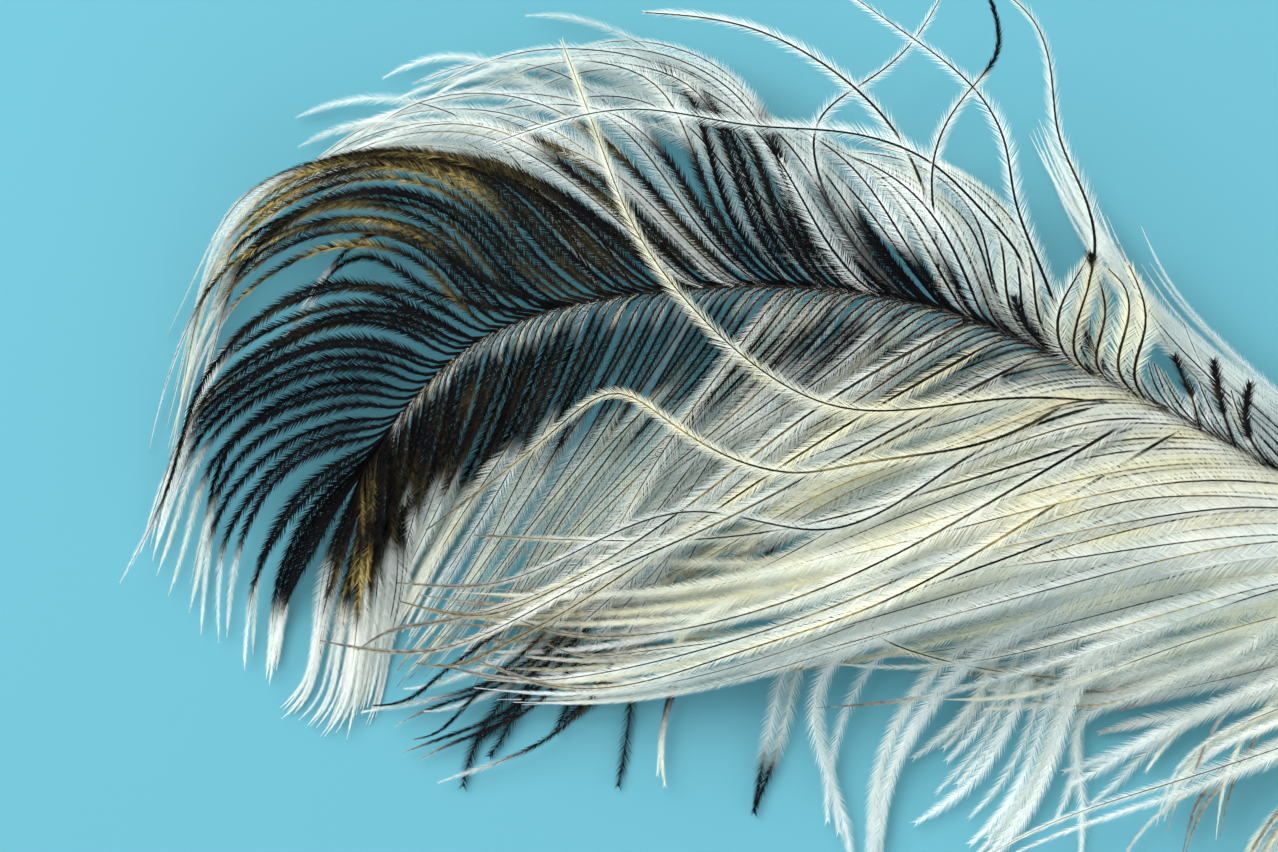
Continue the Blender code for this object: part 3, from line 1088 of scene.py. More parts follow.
LEFT_GUIDES = (
    Guide(TIP,
          ((-30.5, -4.6), (-30.4, -10), (-30.5, -15), (-31, -21), (-32, -27), (-33.5, -32),
           (-35.5, -34.5))),
    Guide(TIP, ((-28.4, -1.2), (-28.8, -7), (-29.3, -13), (-29.8, -19), (-30.5, -25), (-31.8, -34))),
    Guide(CURTAIN, ((-26.3, 1.2), (-27, -5), (-27.6, -12), (-28.5, -20), (-30.7, -31))),
    Guide(CURTAIN, ((-21.8, 6.2), (-22.6, 1), (-24.4, -6), (-26.5, -14.7), (-28.2, -24))),
    Guide(CURTAIN, ((-16.9, 9.7), (-18, 4), (-20.3, -4), (-23.3, -12), (-26.5, -22))),
    Guide(CURTAIN, ((-11.4, 12), (-13, 6), (-16, -2), (-20.5, -12), (-26.3, -23.5))),
    Guide(SHADE, ((-4.6, 13.9), (-7, 7.5), (-11, -2), (-17, -12.5), (-23.5, -23.5))),
    Guide(DUSK, ((2.3, 14.9), (-0.6, 8.5), (-6, -1.5), (-12.5, -12), (-18.5, -22), (-25, -30))),
    Guide(DUSK, ((10.3, 15.3), (6.4, 8.8), (0, -0.5), (-7, -10), (-13.5, -19), (-20.5, -28.5))),
    Guide(DUSK, ((18.4, 15.1), (13.7, 8.8), (6, 0), (-2, -9.5), (-8.7, -18.6), (-16.5, -29))),
    Guide(PATCH, ((26.3, 14.3), (21.2, 9), (12.5, 0.8), (3, -8), (-4.3, -16.5), (-11.5, -26))),
    Guide(PATCH, ((34, 12.2), (28.5, 8.2), (19, 1), (8, -7), (0, -15.5), (-7, -24.5))),
    Guide(PATCH, ((41.6, 9.2), (36, 6.8), (25.5, 0.5), (12, -7.5), (3, -15.5), (-4, -23.5))),
    Guide(PATCH, ((48.8, 5.9), (41, 4.4), (29, -0.3), (14, -7.2), (4, -15), (-2.5, -22.5))),
    Guide(CREAM, ((56, 2.3), (47.5, 2.5), (36, -1.3), (21, -6), (11, -13), (2, -20), (-6, -23))),
    Guide(CREAM,
          ((62.8, -1.3), (53, -0.8), (40, -3.7), (26, -10), (12, -17.4), (-2, -21.2), (-17.5, -21.3))),
    Guide(SWEEP,
          ((70.3, -5.4), (60, -5), (46, -7.3), (31, -13), (14.4, -19), (-3, -22.3), (-20.8, -22.5))),
    Guide(SWEEP,
          ((81.5, -11), (68, -8.7), (52, -10.5), (35, -15), (17.7, -19.8), (2, -23), (-12, -24.4),
           (-21, -24))),
    Guide(SWEEP,
          ((92, -16), (78, -12.5), (62, -13), (46, -16.5), (28, -20.5), (14, -23.4), (4, -24.6),
           (-12, -24.4))),
    Guide(SWEEP,
          ((100, -20), (86, -15.5), (72, -14.5), (56, -18), (40, -21.5), (28, -23.4), (15, -24.4))),
    Guide(SWEEP, ((106, -22.5), (92, -18), (76, -17), (60, -20), (46, -24), (34, -26.5), (24, -26.5))),
    Guide(SWEEP,
          ((112, -25.4), (97, -21), (82, -19.5), (68, -21.5), (56, -24.5), (47, -27), (34, -28.2))),
    Guide(SNOW,
          ((119, -28.4), (105, -24), (90, -22.5), (77, -24), (67, -26.5), (58, -28.5), (48, -29.2))),
    Guide(SWEEP, ((127, -31.7), (110, -28), (93, -28), (79, -32), (70, -36), (64, -41), (62, -48))),
    Guide(SNOW, ((138, -36.3), (122, -35), (106, -36.5), (90, -42), (78, -50), (71, -61))),
    Guide(SNOW, ((165, -47), (146, -52), (128, -62), (116, -74), (109, -86))),
    Guide(SNOW, ((190, -55.3), (174, -63), (160, -75), (151, -88), (148, -98))),
    Guide(DOWN, ((215, -62.3), (203, -70), (193, -80), (187, -92))),
    Guide(DOWN, ((236, -67.8), (231, -74), (228, -81))),
)


@dataclass
class Vane:
    """The barbs on one side of the shaft.

    A barb's plan is a blend of the two guides between whose roots it grows, moved to its
    own root, with a little wander. Barbs gather into locks: each is drawn part of the way
    towards its lock's middle barb, more so towards its end.
    """

    side: Side
    shaft: Shaft
    guides: tuple[Guide, ...]
    seed: int
    plumage: Plumage = field(default_factory=Plumage)
    spacing: float = 1.16 * MM
    crowding: float = 9.0 * MM          # nearer the tip than this, barbs stand closer together
    jitter: float = 0.18                # how far a root strays, as a share of the spacing
    stretch: tuple[float, float] = (0.95, 1.05)
    lock_sizes: tuple[int, int] = (3, 8)
    gather: tuple[float, float] = (0.1, 0.5)
    splits: tuple[float, ...] = (0.0, 72.0, 135.0, 215.0, 300.0)
    gaps: tuple[float, ...] = (0.115 * MM, 0.11 * MM, 0.13 * MM, 0.2 * MM)

    def __post_init__(self) -> None:
        """Places the roots."""
        self.rng = np.random.default_rng(self.seed)
        even = np.arange(0.2 * MM, self.shaft.vane_length + self.crowding, self.spacing)
        roots = even - self.crowding * (1 - np.exp(-even / self.crowding)) * 0.7
        strays = self.rng.uniform(-self.jitter, self.jitter, len(roots))
        roots = roots + strays * np.gradient(roots)
        roots = roots[roots < self.shaft.vane_length]
        self.roots = np.clip(roots, 0.0, self.shaft.vane_length)

    def locks(self) -> tuple[Array, Array]:
        """Gathers the barbs into locks.

        Returns:
            For each barb, its lock's middle barb and how strongly it is drawn to it.
        """
        count = len(self.roots)
        sizes = self.rng.integers(*self.lock_sizes, size=count)
        edges = np.concatenate([[0], np.cumsum(sizes)])
        lock = np.searchsorted(edges, np.arange(count), side="right") - 1
        middle = np.minimum((edges[lock] + edges[lock + 1]) // 2, count - 1)
        return middle, self.rng.uniform(*self.gather, size=len(edges))[lock]

    def barbs(self) -> Barbs:
        """Works out every barb of the vane.

        Returns:
            The barbs, from the tip on.
        """
        curves = self.plumage.drawn([g.points for g in self.guides])
        starts = curves[:, 0] + self.shaft.shift[:2]
        order = self.shaft.distances_of(starts)
        courses = curves - curves[:, :1]
        place = np.interp(self.roots, order, np.arange(len(order)))
        low = np.minimum(place.astype(int), len(order) - 2)
        part = place - low
        plan = courses[low] * (1 - part)[:, None, None] + courses[low + 1] * part[:, None, None]
        table = np.array([astuple(g.look) for g in self.guides])
        looks = table[low] * (1 - part)[:, None] + table[low + 1] * part[:, None]
        plan = plan * self.rng.uniform(*self.stretch, len(plan))[:, None, None]

        root = self.shaft.place_at(self.roots)
        ahead = self.shaft.place_at(np.maximum(self.roots - MM, 0.0)) - root
        ahead[0] = self.shaft.place_at(np.zeros(1))[0] - self.shaft.place_at(np.full(1, MM))[0]
        plan = self.plumage.footed(plan + root[:, None, :2], unit(ahead[:, :2]))
        plan = self.plumage.strayed(plan, looks[:, -1], self.rng)
        middle, pull = self.locks()
        share = np.linspace(0.0, 1.0, self.plumage.points)[:, None]
        pull = pull[:, None, None] * ease((share - 0.12) / 0.88)
        plan = plan * (1 - pull) + plan[middle] * pull
        return self.plumage.grow(plan, root[:, 2], looks, self.rng)

    def build(self) -> list[bpy.types.Object]:
        """Makes the vane's pieces.

        Returns:
            One object for each stretch of the shaft.
        """
        barbs = self.barbs()
        pieces = []
        names = ("tip", "middle", "base", "down")
        for name, near, far, gap in zip(names, self.splits, self.splits[1:], self.gaps):
            part = barbs.chosen((self.roots >= near * MM) & (self.roots < far * MM))
            strands = Strands()
            part.add_ribs(strands)
            part.add_barbules(strands, gap, self.rng)
            pieces.append(strands.make(f"{self.side.value}_barbs_{name}"))
        return pieces


RIBBON = Look(
    -0.1, -0.1, 1.4, gold_and_highlight=0.2, warm=2.0, reach=2.7, stout=1.3, ribbon=0.7, angle=34, droop=-15, lift=6,
    end=24, wander=1,
)
WIRE = Look(
    0.0, 0.08, 1.5, gold_and_highlight=0, warm=0.3, reach=2.0, stout=1.5, ribbon=0.7, droop=-25, lift=6, end=22,
    wander=2,
)
STREAMER = Look(
    0.0, 0.15, 1.5, gold_and_highlight=0.1, warm=0.3, reach=2.4, stout=1.8, ribbon=0.7, angle=36, droop=-25, lift=6,
    end=22, wander=2,
)
SMOKE = Look(
    0.72, 1.2, 1.5, gold_and_highlight=0, reach=1.9, stout=1.4, ribbon=0.7, angle=40, fold=-20, lift=6, end=22,
    wander=2,
)
TENDRIL = Look(
    -0.1, -0.1, 1.2, tipped=1.2, gold_and_highlight=0.7, warm=0.7, reach=2.0, stout=1.6, ribbon=0.65, angle=36, lift=13,
    end=13, wander=2,
)
LOOP = Look(
    -0.1, -0.1, 1.2, tipped=1.2, gold_and_highlight=0.6, warm=0.9, reach=2.1, blade=1.3, stout=1.6, ribbon=0.6,
    angle=34, lift=12, end=12, wander=2,
)
PLUME = Look(
    -0.1, -0.1, 0.6, gold_and_highlight=0.3, warm=0.9, reach=2.6, ribbon=0.8, angle=40, lift=10, end=12, wander=1,
)
GLEAM = Look(
    0.02, 0.03, 0.3, patchy=1, gold_and_highlight=0, warm=0.05, reach=2.8, ribbon=0.7, lift=12, end=8, wander=4,
)
PENDANT = Look(
    0.80, 1.2, 0.6, gold_and_highlight=0, warm=0.2, reach=2.3, blade=0.7, ribbon=1.0, fold=5, lift=1, end=1, wander=1,
)
DIPPED = Look(
    0.91, 1.2, 0.5, gold_and_highlight=0.2, warm=0.2, reach=2.3, blade=0.8, ribbon=0.9, fold=5, lift=3, end=1, wander=1,
)
FROTH = Look(
    0.02, 0.03, 0.7, patchy=1, gold_and_highlight=0, warm=0.1, reach=2.1, blade=0.65, ribbon=0.6, fold=20, lift=1,
    end=2, wander=8,
)
STEM = Look(
    0.6, 0.93, 0.9, gold_and_highlight=0.7, warm=0.5, reach=1.8, stout=1.3, ribbon=0.8, angle=28, lift=3, end=2,
    wander=1,
)
TAIL = Look(
    0.66, 0.93, 1.0, gold_and_highlight=0.5, warm=0.2, reach=2.1, blade=0.8, stout=0.8, ribbon=0.6, fold=15, lift=3,
    end=3, wander=4,
)
ICICLE = Look(
    -0.1, -0.1, 0.25, gold_and_highlight=0.1, warm=0.15, reach=2.3, ribbon=0.8, angle=40, lift=6, end=2, wander=3,
)
STRAY = Look(-0.1, 0.85, 0.9, gold_and_highlight=0.1, warm=0.1, reach=2.1, ribbon=0.5, lift=2, end=8, wander=1)
FINGER = Look(
    -0.1, -0.1, 1.5, gold_and_highlight=0.1, warm=1.5, reach=2.9, blade=1.5, stout=1.9, ribbon=0.6, droop=-10, lift=3,
    end=24, wander=1,
)
KNUCKLE = Look(
    0.88, 1.2, 1.5, gold_and_highlight=0.1, warm=1.5, reach=2.7, blade=1.4, stout=1.9, ribbon=0.8, droop=-10, lift=3,
    end=24, wander=1,
)
TUFT = Look(
    0.4, 1.2, 1.5, gold_and_highlight=0.1, warm=0.3, reach=2.2, stout=1.8, ribbon=0.9, fold=10, lift=2, end=24,
    wander=1,
)
CLUMP = Look(0.1, 1.2, 1.5, gold_and_highlight=0, reach=2.2, stout=1.8, ribbon=0.9, fold=10, lift=2, end=24, wander=4)

LOOSE_BARBS = (
    Guide(RIBBON,
          ((56, 2), (40, 3), (29, 1.8), (21, 2.3), (13.5, 6.2), (6.7, 12.8), (0.3, 22.5), (-3, 31.5),
           (-7, 43))),
    Guide(WIRE,
          ((48.8, 5.7), (43, 12.5), (41.5, 17.5), (37.5, 22.8), (31.8, 28.4), (23, 32), (12, 33.2),
           (0, 35.3), (-15.3, 32.5))),
    Guide(WIRE,
          ((47.5, 6.3), (43.3, 17), (40, 24.6), (38.5, 30.5), (35.2, 35.8), (28.5, 41.2), (19.8, 47))),
    Guide(SMOKE,
          ((33, 12.6), (32.2, 21), (31.8, 27.6), (33, 32), (35.8, 36.1), (38.8, 40.2), (37.7, 47.5))),
    Guide(STREAMER,
          ((36.5, 11.6), (32.5, 20), (31, 25.5), (27.5, 33), (22.5, 38.4), (12.2, 43.9), (1.2, 45.3))),
    Guide(STREAMER,
          ((52.6, 4), (48, 12), (49, 18), (47.4, 25.4), (44.8, 31), (43.7, 37.6), (41.5, 43.6),
           (38.2, 46.7))),
    Guide(WIRE, ((28.2, 13.8), (20, 26), (19.5, 33), (24.4, 37.6), (29, 41.4), (33, 47))),
    Guide(TENDRIL,
          ((50.5, 5), (38, -1.5), (23, -4), (17.7, -4.8), (8.9, -2.6), (2.3, 1.8), (-2, 4.2), (-8.7, 0.7),
           (-15.3, -4.8), (-23, -11))),
    Guide(PLUME,
          ((58, 1.2), (42, -1.2), (29, -3.6), (21, -6), (15.5, -9.5), (11.5, -14), (7, -20), (4, -25))),
    Guide(PLUME,
          ((78, -9), (62, -7.5), (50, -8.5), (40, -11.5), (30, -13.5), (20, -14.5), (12, -18), (4, -23))),
    Guide(TENDRIL, ((58, 1.2), (42, -4), (27, -9), (12, -12.5), (-2, -13.3), (-10, -13.2), (-18, -12.8))),
    Guide(TENDRIL,
          ((54, 3.2), (36, -3), (20, -11), (6, -9), (-8, -14.5), (-15.5, -17.8), (-26.3, -18.3))),
    Guide(TENDRIL, ((44, 8), (30, 0), (16, -7), (4, -12.5), (-9, -18), (-16.5, -20.7), (-26.3, -19.1))),
    Guide(LOOP, ((56, 2), (38, -8), (20, -17), (6, -21.5), (-6, -22.6), (-12, -21.5), (-14.5, -20.5))),
    Guide(LOOP, ((44, 8), (26, -1), (8, -10), (-8, -17), (-16, -21), (-23, -23.2), (-35.9, -21.9))),
    Guide(LOOP, ((40, 9.8), (22, 0), (4, -11), (-10, -19), (-17.5, -22.3), (-22, -23.8), (-26.3, -23.4))),
    Guide(LOOP, ((36, 11.5), (18, 1), (2, -12), (-12, -21), (-22, -24), (-27, -25.2), (-30, -27.1))),
    Guide(LOOP, ((62, -1), (42, -10), (22, -20), (6, -25.5), (-5, -28), (-13, -28.6), (-21.9, -26.8))),
    Guide(LOOP, ((66, -3), (48, -11), (30, -18), (13, -23.5), (0, -25), (-7.5, -24.8), (-10, -23.7))),
    Guide(LOOP, ((60, 0.2), (44, -9), (26, -19), (10, -24.5), (-5.5, -29), (-11, -28.8), (-18.6, -26.6))),
    Guide(TENDRIL, ((70, -5), (58, -9), (46, -14), (34, -20), (26, -23.2), (36, -27.5), (50, -29.6))),
    Guide(STRAY, ((-10.5, 12.5), (-18, 13.5), (-24, 15.5), (-30, 18.7), (-34, 17), (-37, 12), (-39, 10))),
    Guide(STRAY, ((-8, 13.2), (-16, 15.5), (-22.5, 19.5), (-29, 21.5), (-34.5, 17.5), (-38.2, 12.2))),
    Guide(STRAY, ((-17.5, 9.2), (-25, 13), (-33, 15.8), (-42, 12), (-49, 4), (-52, -6), (-57.3, -17.3))),
    Guide(KNUCKLE, ((50, 5.2), (47.4, 7.5), (47.6, 12), (48.8, 16), (49, 18.5))),
    Guide(KNUCKLE, ((52, 4.3), (49.8, 6.5), (50.6, 12), (50, 16), (49, 18.8))),
    Guide(FINGER, ((54.5, 3), (52, 6), (53, 12), (52.6, 15), (50.8, 17))),
    Guide(FINGER, ((55.5, 2.4), (53.8, 5), (54.8, 10.5), (54.6, 14.5), (53.4, 17.5))),
    Guide(FINGER, ((49, 5.6), (45.8, 8.5), (45.6, 12.5), (47.4, 16), (48.6, 18))),
    Guide(CLUMP, ((47.4, 6.5), (44.2, 9), (42.4, 12), (42.2, 14.5))),
    Guide(CLUMP, ((48.4, 6), (45, 9), (43.2, 11.5), (43.6, 13.8))),
    Guide(CLUMP, ((46.4, 7), (43.4, 9.6), (41.6, 12), (40.8, 14.2))),
    Guide(TUFT, ((61, -0.4), (60, 3), (58.6, 7.6))),
    Guide(TUFT, ((65, -2.6), (63, 1.5), (61.8, 7))),
    Guide(TUFT, ((69, -4.7), (65.6, -0.5), (65.8, 4.6))),
)

BUNDLES = (
    Bundle(GLEAM, 9, (
        ((74, -7), (58, -6.5), (44, -6.5), (33, -8), (24, -11), (16, -16.5), (7, -21)),
        ((84, -12), (68, -9.5), (52, -10), (40, -12), (30, -15), (20, -20), (12, -23.5)),
        ((94, -17), (80, -14), (66, -14), (52, -16.5), (40, -20), (28, -23.5), (18, -25)),
    )),
    Bundle(SWEEP, 14, (
        ((124, -30.3), (106, -26), (90, -24.5), (77, -27), (69, -31.5), (65, -38), (63, -48)),
        ((134, -34.5), (114, -31), (96, -31), (82, -35), (73, -41), (68, -48), (66, -56)),
        ((142, -38), (124, -36), (106, -38), (92, -43), (82, -50), (77, -57), (75, -64)),
    )),
    Bundle(TIP, 13, (
        ((-30.4, -4.5), (-31.6, -10), (-33.4, -15.5), (-34.9, -21), (-35.8, -26), (-37, -30.5),
         (-39.6, -33.4)),
        ((-30.2, -4.2), (-29.8, -10), (-30.6, -16), (-31.9, -22), (-33, -27.5), (-34.4, -31.5),
         (-36.6, -34.5)),
        ((-29.6, -3.2), (-28.4, -9), (-28.9, -15.5), (-29.8, -21.5), (-30.5, -27), (-31.2, -31.5),
         (-32.8, -34.5)),
    )),
    Bundle(FROST, 6, (
        ((-30.5, -4.6), (-32.4, -9), (-34.6, -14), (-35.8, -19.5), (-36.6, -24.5), (-38, -28.5),
         (-41.6, -31.9)),
        ((-30.5, -4.6), (-31.5, -10), (-33.3, -15.5), (-34.6, -21), (-35.8, -26.5), (-37.2, -30.5),
         (-39, -33)),
    )),
    Bundle(FROST, 5, (
        ((-29.2, -2.5), (-27.6, -9), (-27.2, -15), (-27.9, -21), (-28.9, -26), (-29.8, -31), (-31, -34)),
        ((-28.2, -0.8), (-26.2, -7), (-25.6, -13), (-26.4, -19), (-28, -24.5), (-29, -29),
         (-29.6, -32.5)),
    )),
    Bundle(TAIL, 4, (
        ((22, 15), (12, 3), (4, -8), (-5, -18), (-14, -25), (-21, -28.2), (-26.3, -29.7), (-29.6, -29.6)),
        ((16, 15.3), (6, 2), (-2, -9), (-10, -19), (-17, -25), (-21.5, -29), (-25, -32.4),
         (-29.6, -33.4)),
    )),
    Bundle(TAIL, 5, (
        ((26, 14.4), (16, 2), (6, -9), (-3, -20), (-10, -28.5), (-16, -32.3), (-24, -34.6), (-30.5, -36)),
        ((30, 13.5), (18, 0), (8, -10), (-1, -20), (-7.5, -27), (-13, -31.4), (-20, -33.8), (-27, -36.8)),
    )),
    Bundle(PENDANT, 3, (
        ((20, 15.1), (9, 2), (-1, -10), (-8, -19), (-13, -26.5), (-17, -32), (-19.5, -37),
         (-20.3, -41.5)),
        ((24, 14.8), (13, 2), (3, -10), (-4, -19), (-9, -25), (-12.5, -29.5), (-15, -33.3),
         (-18.3, -35.6)),
    )),
    Bundle(PENDANT, 3, (
        ((34, 12.2), (19, 1), (8, -8), (2, -17), (-3, -23), (-6.5, -28), (-8.5, -32), (-10.4, -35.8)),
        ((36, 11.7), (22, 1), (10, -8), (5, -17), (1, -23), (-2, -27.5), (-4.6, -30.5), (-8, -33.4)),
    )),
    Bundle(PENDANT, 1, (
        ((28, 14), (15, 0.8), (6, -9), (2, -18), (0.4, -25), (-0.4, -31), (-1, -37), (-1.9, -43.3)),
        ((29, 13.8), (16, 0.8), (7, -9), (3, -18), (0.8, -25), (-0.2, -31), (-0.8, -37), (-1.7, -43.3)),
    )),
    Bundle(STEM, 2, (
        ((58, 1.2), (42, -1.5), (27, -5), (18, -9.2), (11.5, -15), (7, -21), (3.6, -29), (2.5, -35),
         (1.6, -43)),
        ((62, -0.8), (46, -3), (31, -5.5), (20, -9.7), (13, -15), (8.6, -21), (4.5, -29), (2.9, -35),
         (3.4, -41.4)),
    )),
    Bundle(DIPPED, 2, (
        ((76, -8), (58, -6), (40, -12), (26, -19), (16.5, -26), (14.8, -32), (13.6, -38), (12.4, -47)),
        ((78, -9), (60, -7), (42, -13), (28, -20), (19, -27), (17.4, -33), (15.6, -38), (12.6, -44)),
    )),
    Bundle(ICICLE, 3, (
        ((80, -10), (62, -8), (44, -14), (28, -21), (20, -27), (19.2, -33), (21.6, -40), (24.6, -52)),
        ((84, -12), (66, -9), (48, -14), (36, -19), (28, -24.5), (23, -31), (20, -38), (19.2, -46)),
    )),
    Bundle(ICICLE, 5, (
        ((88, -14), (70, -11), (54, -15), (42, -20), (33, -25.5), (28.2, -32), (25.8, -39), (24.6, -52)),
        ((92, -16), (74, -13), (58, -17), (46, -22), (37, -27.5), (32, -33.5), (28, -40), (26.5, -52)),
    )),
    Bundle(ICICLE, 5, (
        ((90, -15), (72, -12), (57, -15), (46, -21), (40, -27), (38.5, -31.5), (36, -35), (31.8, -38.6)),
        ((94, -17), (76, -13), (60, -17), (49, -22), (43, -27.5), (41, -32), (38, -36.5), (33.7, -41.3)),
    )),
    Bundle(ICICLE, 7, (
        ((94, -17), (78, -13), (62, -17), (50, -22), (44, -28.5), (41.5, -35.5), (38, -41.5), (31, -47)),
        ((98, -19), (82, -15), (66, -18), (55, -23), (49, -29), (46.5, -36), (43.5, -42), (37.5, -49)),
    )),
    Bundle(ICICLE, 2, (
        ((112, -25.4), (96, -20), (82, -20.5), (71, -23), (60, -27), (51.2, -30.2), (49.4, -31.4),
         (49.2, -38), (48.8, -49)),
        ((113, -25.8), (97, -21), (83, -21.5), (72, -24), (62, -28), (53, -31), (51, -32.4), (50.4, -38),
         (48, -46)),
    )),
    Bundle(ICICLE, 3, (
        ((114, -26.3), (98, -22), (84, -24), (72, -27), (62.8, -30.4), (56.2, -34.5), (51.8, -38.6),
         (49.4, -40.4)),
        ((116, -27), (100, -23), (86, -25.5), (75, -29), (66, -33), (58, -37), (52, -40), (46, -42)),
    )),
    Bundle(SWEEP, 3, (
        ((120, -28.8), (104, -26), (88, -29), (74, -33), (63.9, -37.4), (54, -41.5), (42, -45),
         (29, -47.6)),
        ((122, -29.6), (106, -27.5), (90, -31), (76, -35.6), (66, -40), (60, -44), (56, -49), (54, -54)),
    )),
    Bundle(SWEEP, 3, (
        ((100, -20), (88, -16.5), (78, -15), (70, -16.3), (64, -21.5), (57, -24.6), (52.9, -28),
         (44, -28.9)),
        ((102, -21), (90, -17.5), (80, -16), (72, -17.5), (66, -23), (59, -26.4), (52.5, -29.2),
         (40, -28.2)),
    )),
)

FROTHY_BARBS = (
    Bundle(FROTH, 20, (
        ((-4.3, 13.9), (-7, 19), (-11, 25), (-17, 31), (-25, 34), (-33, 33), (-40, 29)),
        ((6.4, 15.2), (1, 21), (-6, 27), (-14, 32), (-22, 34.5), (-30, 34), (-36, 31)),
        ((17.2, 15.2), (12, 22), (7, 29), (1, 36), (-7, 39.5), (-16, 39), (-24, 36)),
        ((28.2, 13.9), (22, 20), (16.5, 27.5), (10, 34), (2, 38), (-6, 38.5), (-12, 37)),
    )),
)


@dataclass
class LooseBarbs:
    """Barbs that have come away from the vanes' flow and cross over them."""

    name: str
    shaft: Shaft
    seed: int
    guides: tuple[Guide, ...] = ()
    bundles: tuple[Bundle, ...] = ()
    gap: float = 0.13 * MM
    jitter: float = 0.3                 # how far a bundle's barbs stray, in curves
    shortest: float = 0.94              # and how short they are cut, as a share
    plumage: Plumage = field(default_factory=lambda: Plumage(points=64))

    def bundled(self, bundle: Bundle, rng: np.random.Generator) -> Array:
        """Spreads a bundle's barbs between its curves and cuts them to uneven lengths.

        Args:
            bundle: the bundle.
            rng: where the random numbers come from.

        Returns:
            The barbs' plans.
        """
        curves = self.plumage.drawn(bundle.curves)
        last = len(curves) - 1
        strays = rng.uniform(-self.jitter, self.jitter, bundle.count)
        place = np.clip(np.linspace(0.0, last, bundle.count) + strays, 0.0, last)
        low = np.minimum(place.astype(int), last - 1)
        part = (place - low)[:, None, None]
        plan = curves[low] * (1 - part) + curves[low + 1] * part
        cut = rng.uniform(self.shortest, 1.0, (bundle.count, 1))
        at = cut * np.arange(self.plumage.points)
        low = np.minimum(at.astype(int), self.plumage.points - 2)[..., None]
        part = at[..., None] - low
        here, there = np.take_along_axis(plan, low, 1), np.take_along_axis(plan, low + 1, 1)
        return here * (1 - part) + there * part

    def build(self) -> list[bpy.types.Object]:
        """Makes one piece of all the loose barbs.

        Returns:
            The piece's object, as a list of one.
        """
        rng = np.random.default_rng(self.seed)
        plans = [self.plumage.drawn([g.points])[0] for g in self.guides]
        table = [astuple(g.look) for g in self.guides]
        for bundle in self.bundles:
            plans.extend(self.bundled(bundle, rng))
            table.extend([astuple(bundle.look)] * bundle.count)
        looks = np.array(table)
        plan = np.array(plans) + self.shaft.shift[:2]
        root = self.shaft.place_at(self.shaft.distances_of(plan[:, 0]))
        plan = self.plumage.strayed(plan, looks[:, -1], rng)
        barbs = self.plumage.grow(plan, root[:, 2], looks, rng)
        strands = Strands()
        barbs.add_ribs(strands)
        barbs.add_barbules(strands, self.gap, rng)
        return [strands.make(self.name)]


# ---------------------------------------------------------------------------------------
# The table, the light and the camera
# ---------------------------------------------------------------------------------------


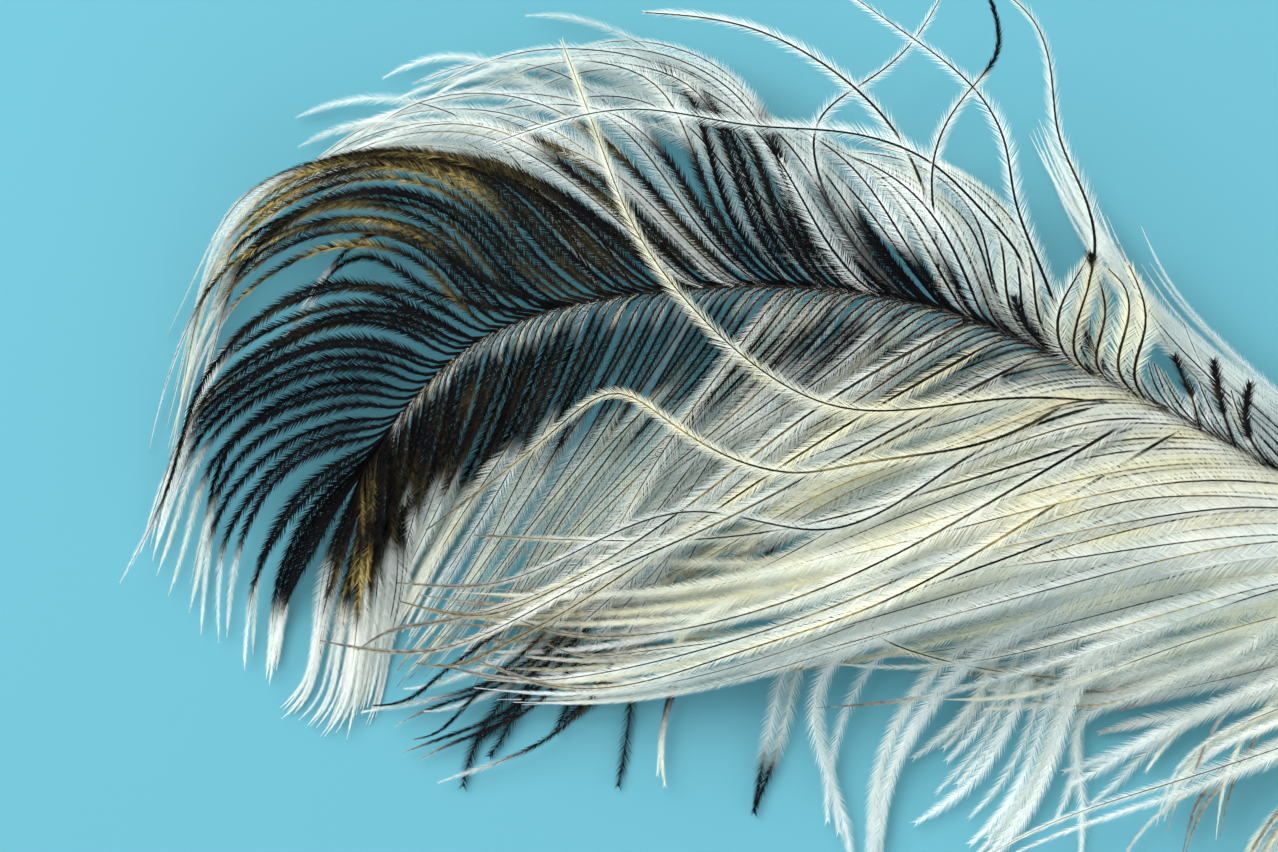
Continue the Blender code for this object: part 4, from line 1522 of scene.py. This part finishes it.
@dataclass
class Stage:
    """A plain pale table, soft light from above and a camera over the plume's tip."""

    centre: Array
    table_colour: Colour = (0.095, 0.29, 0.36)
    table_half_width: float = 2.0
    sky_colour: Colour = (0.82, 0.90, 0.94)
    sky_strength: float = 0.8
    view_width: float = 140.6 * MM
    view_height_over_table: float = 15.0 * MM
    lens: float = 180.0
    sensor: float = 36.0

    def table(self) -> None:
        """The table's top: one large level square just under the plume."""
        half = self.table_half_width
        mesh = bpy.data.meshes.new("table")
        corners = [(-half, -half, 0), (half, -half, 0), (half, half, 0), (-half, half, 0)]
        mesh.from_pydata(corners, [], [(0, 1, 2, 3)])
        top = bpy.data.objects.new("table", mesh)
        graph = Graph("table_paint")
        surface = graph.node(
            "ShaderNodeBsdfPrincipled",
            {},
            {"Base Color": (*self.table_colour, 1.0), "Roughness": 0.9, "Specular IOR Level": 0.1},
        )
        mesh.materials.append(graph.finish(surface))
        bpy.context.scene.collection.objects.link(top)

    def lamp(self, name: str, place: tuple, size: float, power: float, colour: Colour) -> None:
        """Adds a square soft lamp that faces the plume.

        Args:
            name: its name.
            place: where it stands, in metres.
            size: its side, in metres.
            power: its power, in watts.
            colour: its light's colour.
        """
        light = bpy.data.lights.new(name, "AREA")
        light.shape = "SQUARE"
        light.size = size
        light.energy = power
        light.color = colour
        lamp = bpy.data.objects.new(name, light)
        lamp.location = place
        aim = Vector((self.centre[0], self.centre[1], 0.0)) - Vector(place)
        lamp.rotation_euler = aim.to_track_quat("-Z", "Y").to_euler()
        bpy.context.scene.collection.objects.link(lamp)

    def lights(self) -> None:
        """A large key lamp, a fill opposite and an even sky."""
        self.lamp("key", (-0.55, 0.45, 0.95), 0.8, 20.0, (1.0, 0.98, 0.95))
        self.lamp("fill", (0.75, -0.55, 0.8), 0.9, 5.0, (0.95, 0.98, 1.0))
        world = bpy.data.worlds.new("studio")
        world.use_nodes = True
        sky = world.node_tree.nodes["Background"]
        sky.inputs["Color"].default_value = (*self.sky_colour, 1.0)
        sky.inputs["Strength"].default_value = self.sky_strength
        bpy.context.scene.world = world

    def camera(self) -> None:
        """A camera straight above, as far up as fits the wanted width."""
        lens = bpy.data.cameras.new("camera")
        lens.lens = self.lens
        lens.sensor_width = self.sensor
        eye = bpy.data.objects.new("camera", lens)
        distance = self.view_width * self.lens / self.sensor
        eye.location = (self.centre[0], self.centre[1], distance + self.view_height_over_table)
        bpy.context.scene.collection.objects.link(eye)
        bpy.context.scene.camera = eye

    def build(self) -> None:
        """Sets everything up."""
        self.table()
        self.lights()
        self.camera()
        bpy.context.scene.view_settings.view_transform = "Standard"


def main() -> None:
    """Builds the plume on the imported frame."""
    logging.basicConfig(level=logging.INFO, format="%(message)s")
    shaft = Shaft()
    rod = shaft.build()
    rod.data.materials.append(HornFinish("shaft_horn").make())
    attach(rod, "root")
    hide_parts("shaft")

    finish = BarbFinish("plume_barbs").make()
    groups = (
        (Vane(Side.RIGHT, shaft, RIGHT_GUIDES, seed=3, crowding=4 * MM), "right_vane", Slot.DARK),
        (Vane(Side.LEFT, shaft, LEFT_GUIDES, seed=8), "left_vane", Slot.PALE),
        (LooseBarbs("loose_barbs", shaft, 5, guides=LOOSE_BARBS), "right_vane", Slot.PALE),
        (LooseBarbs("frothy_barbs", shaft, 6, bundles=FROTHY_BARBS), "right_vane", Slot.PALE),
        (LooseBarbs("hanging_barbs", shaft, 9, bundles=BUNDLES, gap=0.16 * MM), "left_vane", Slot.PALE),
    )
    for group, node, slot in groups:
        for piece in group.build():
            piece.data.materials.append(finish)
            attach(piece, "root")
            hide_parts(node)

    Stage(shaft.shift).build()


if __name__ == "__main__":
    main()
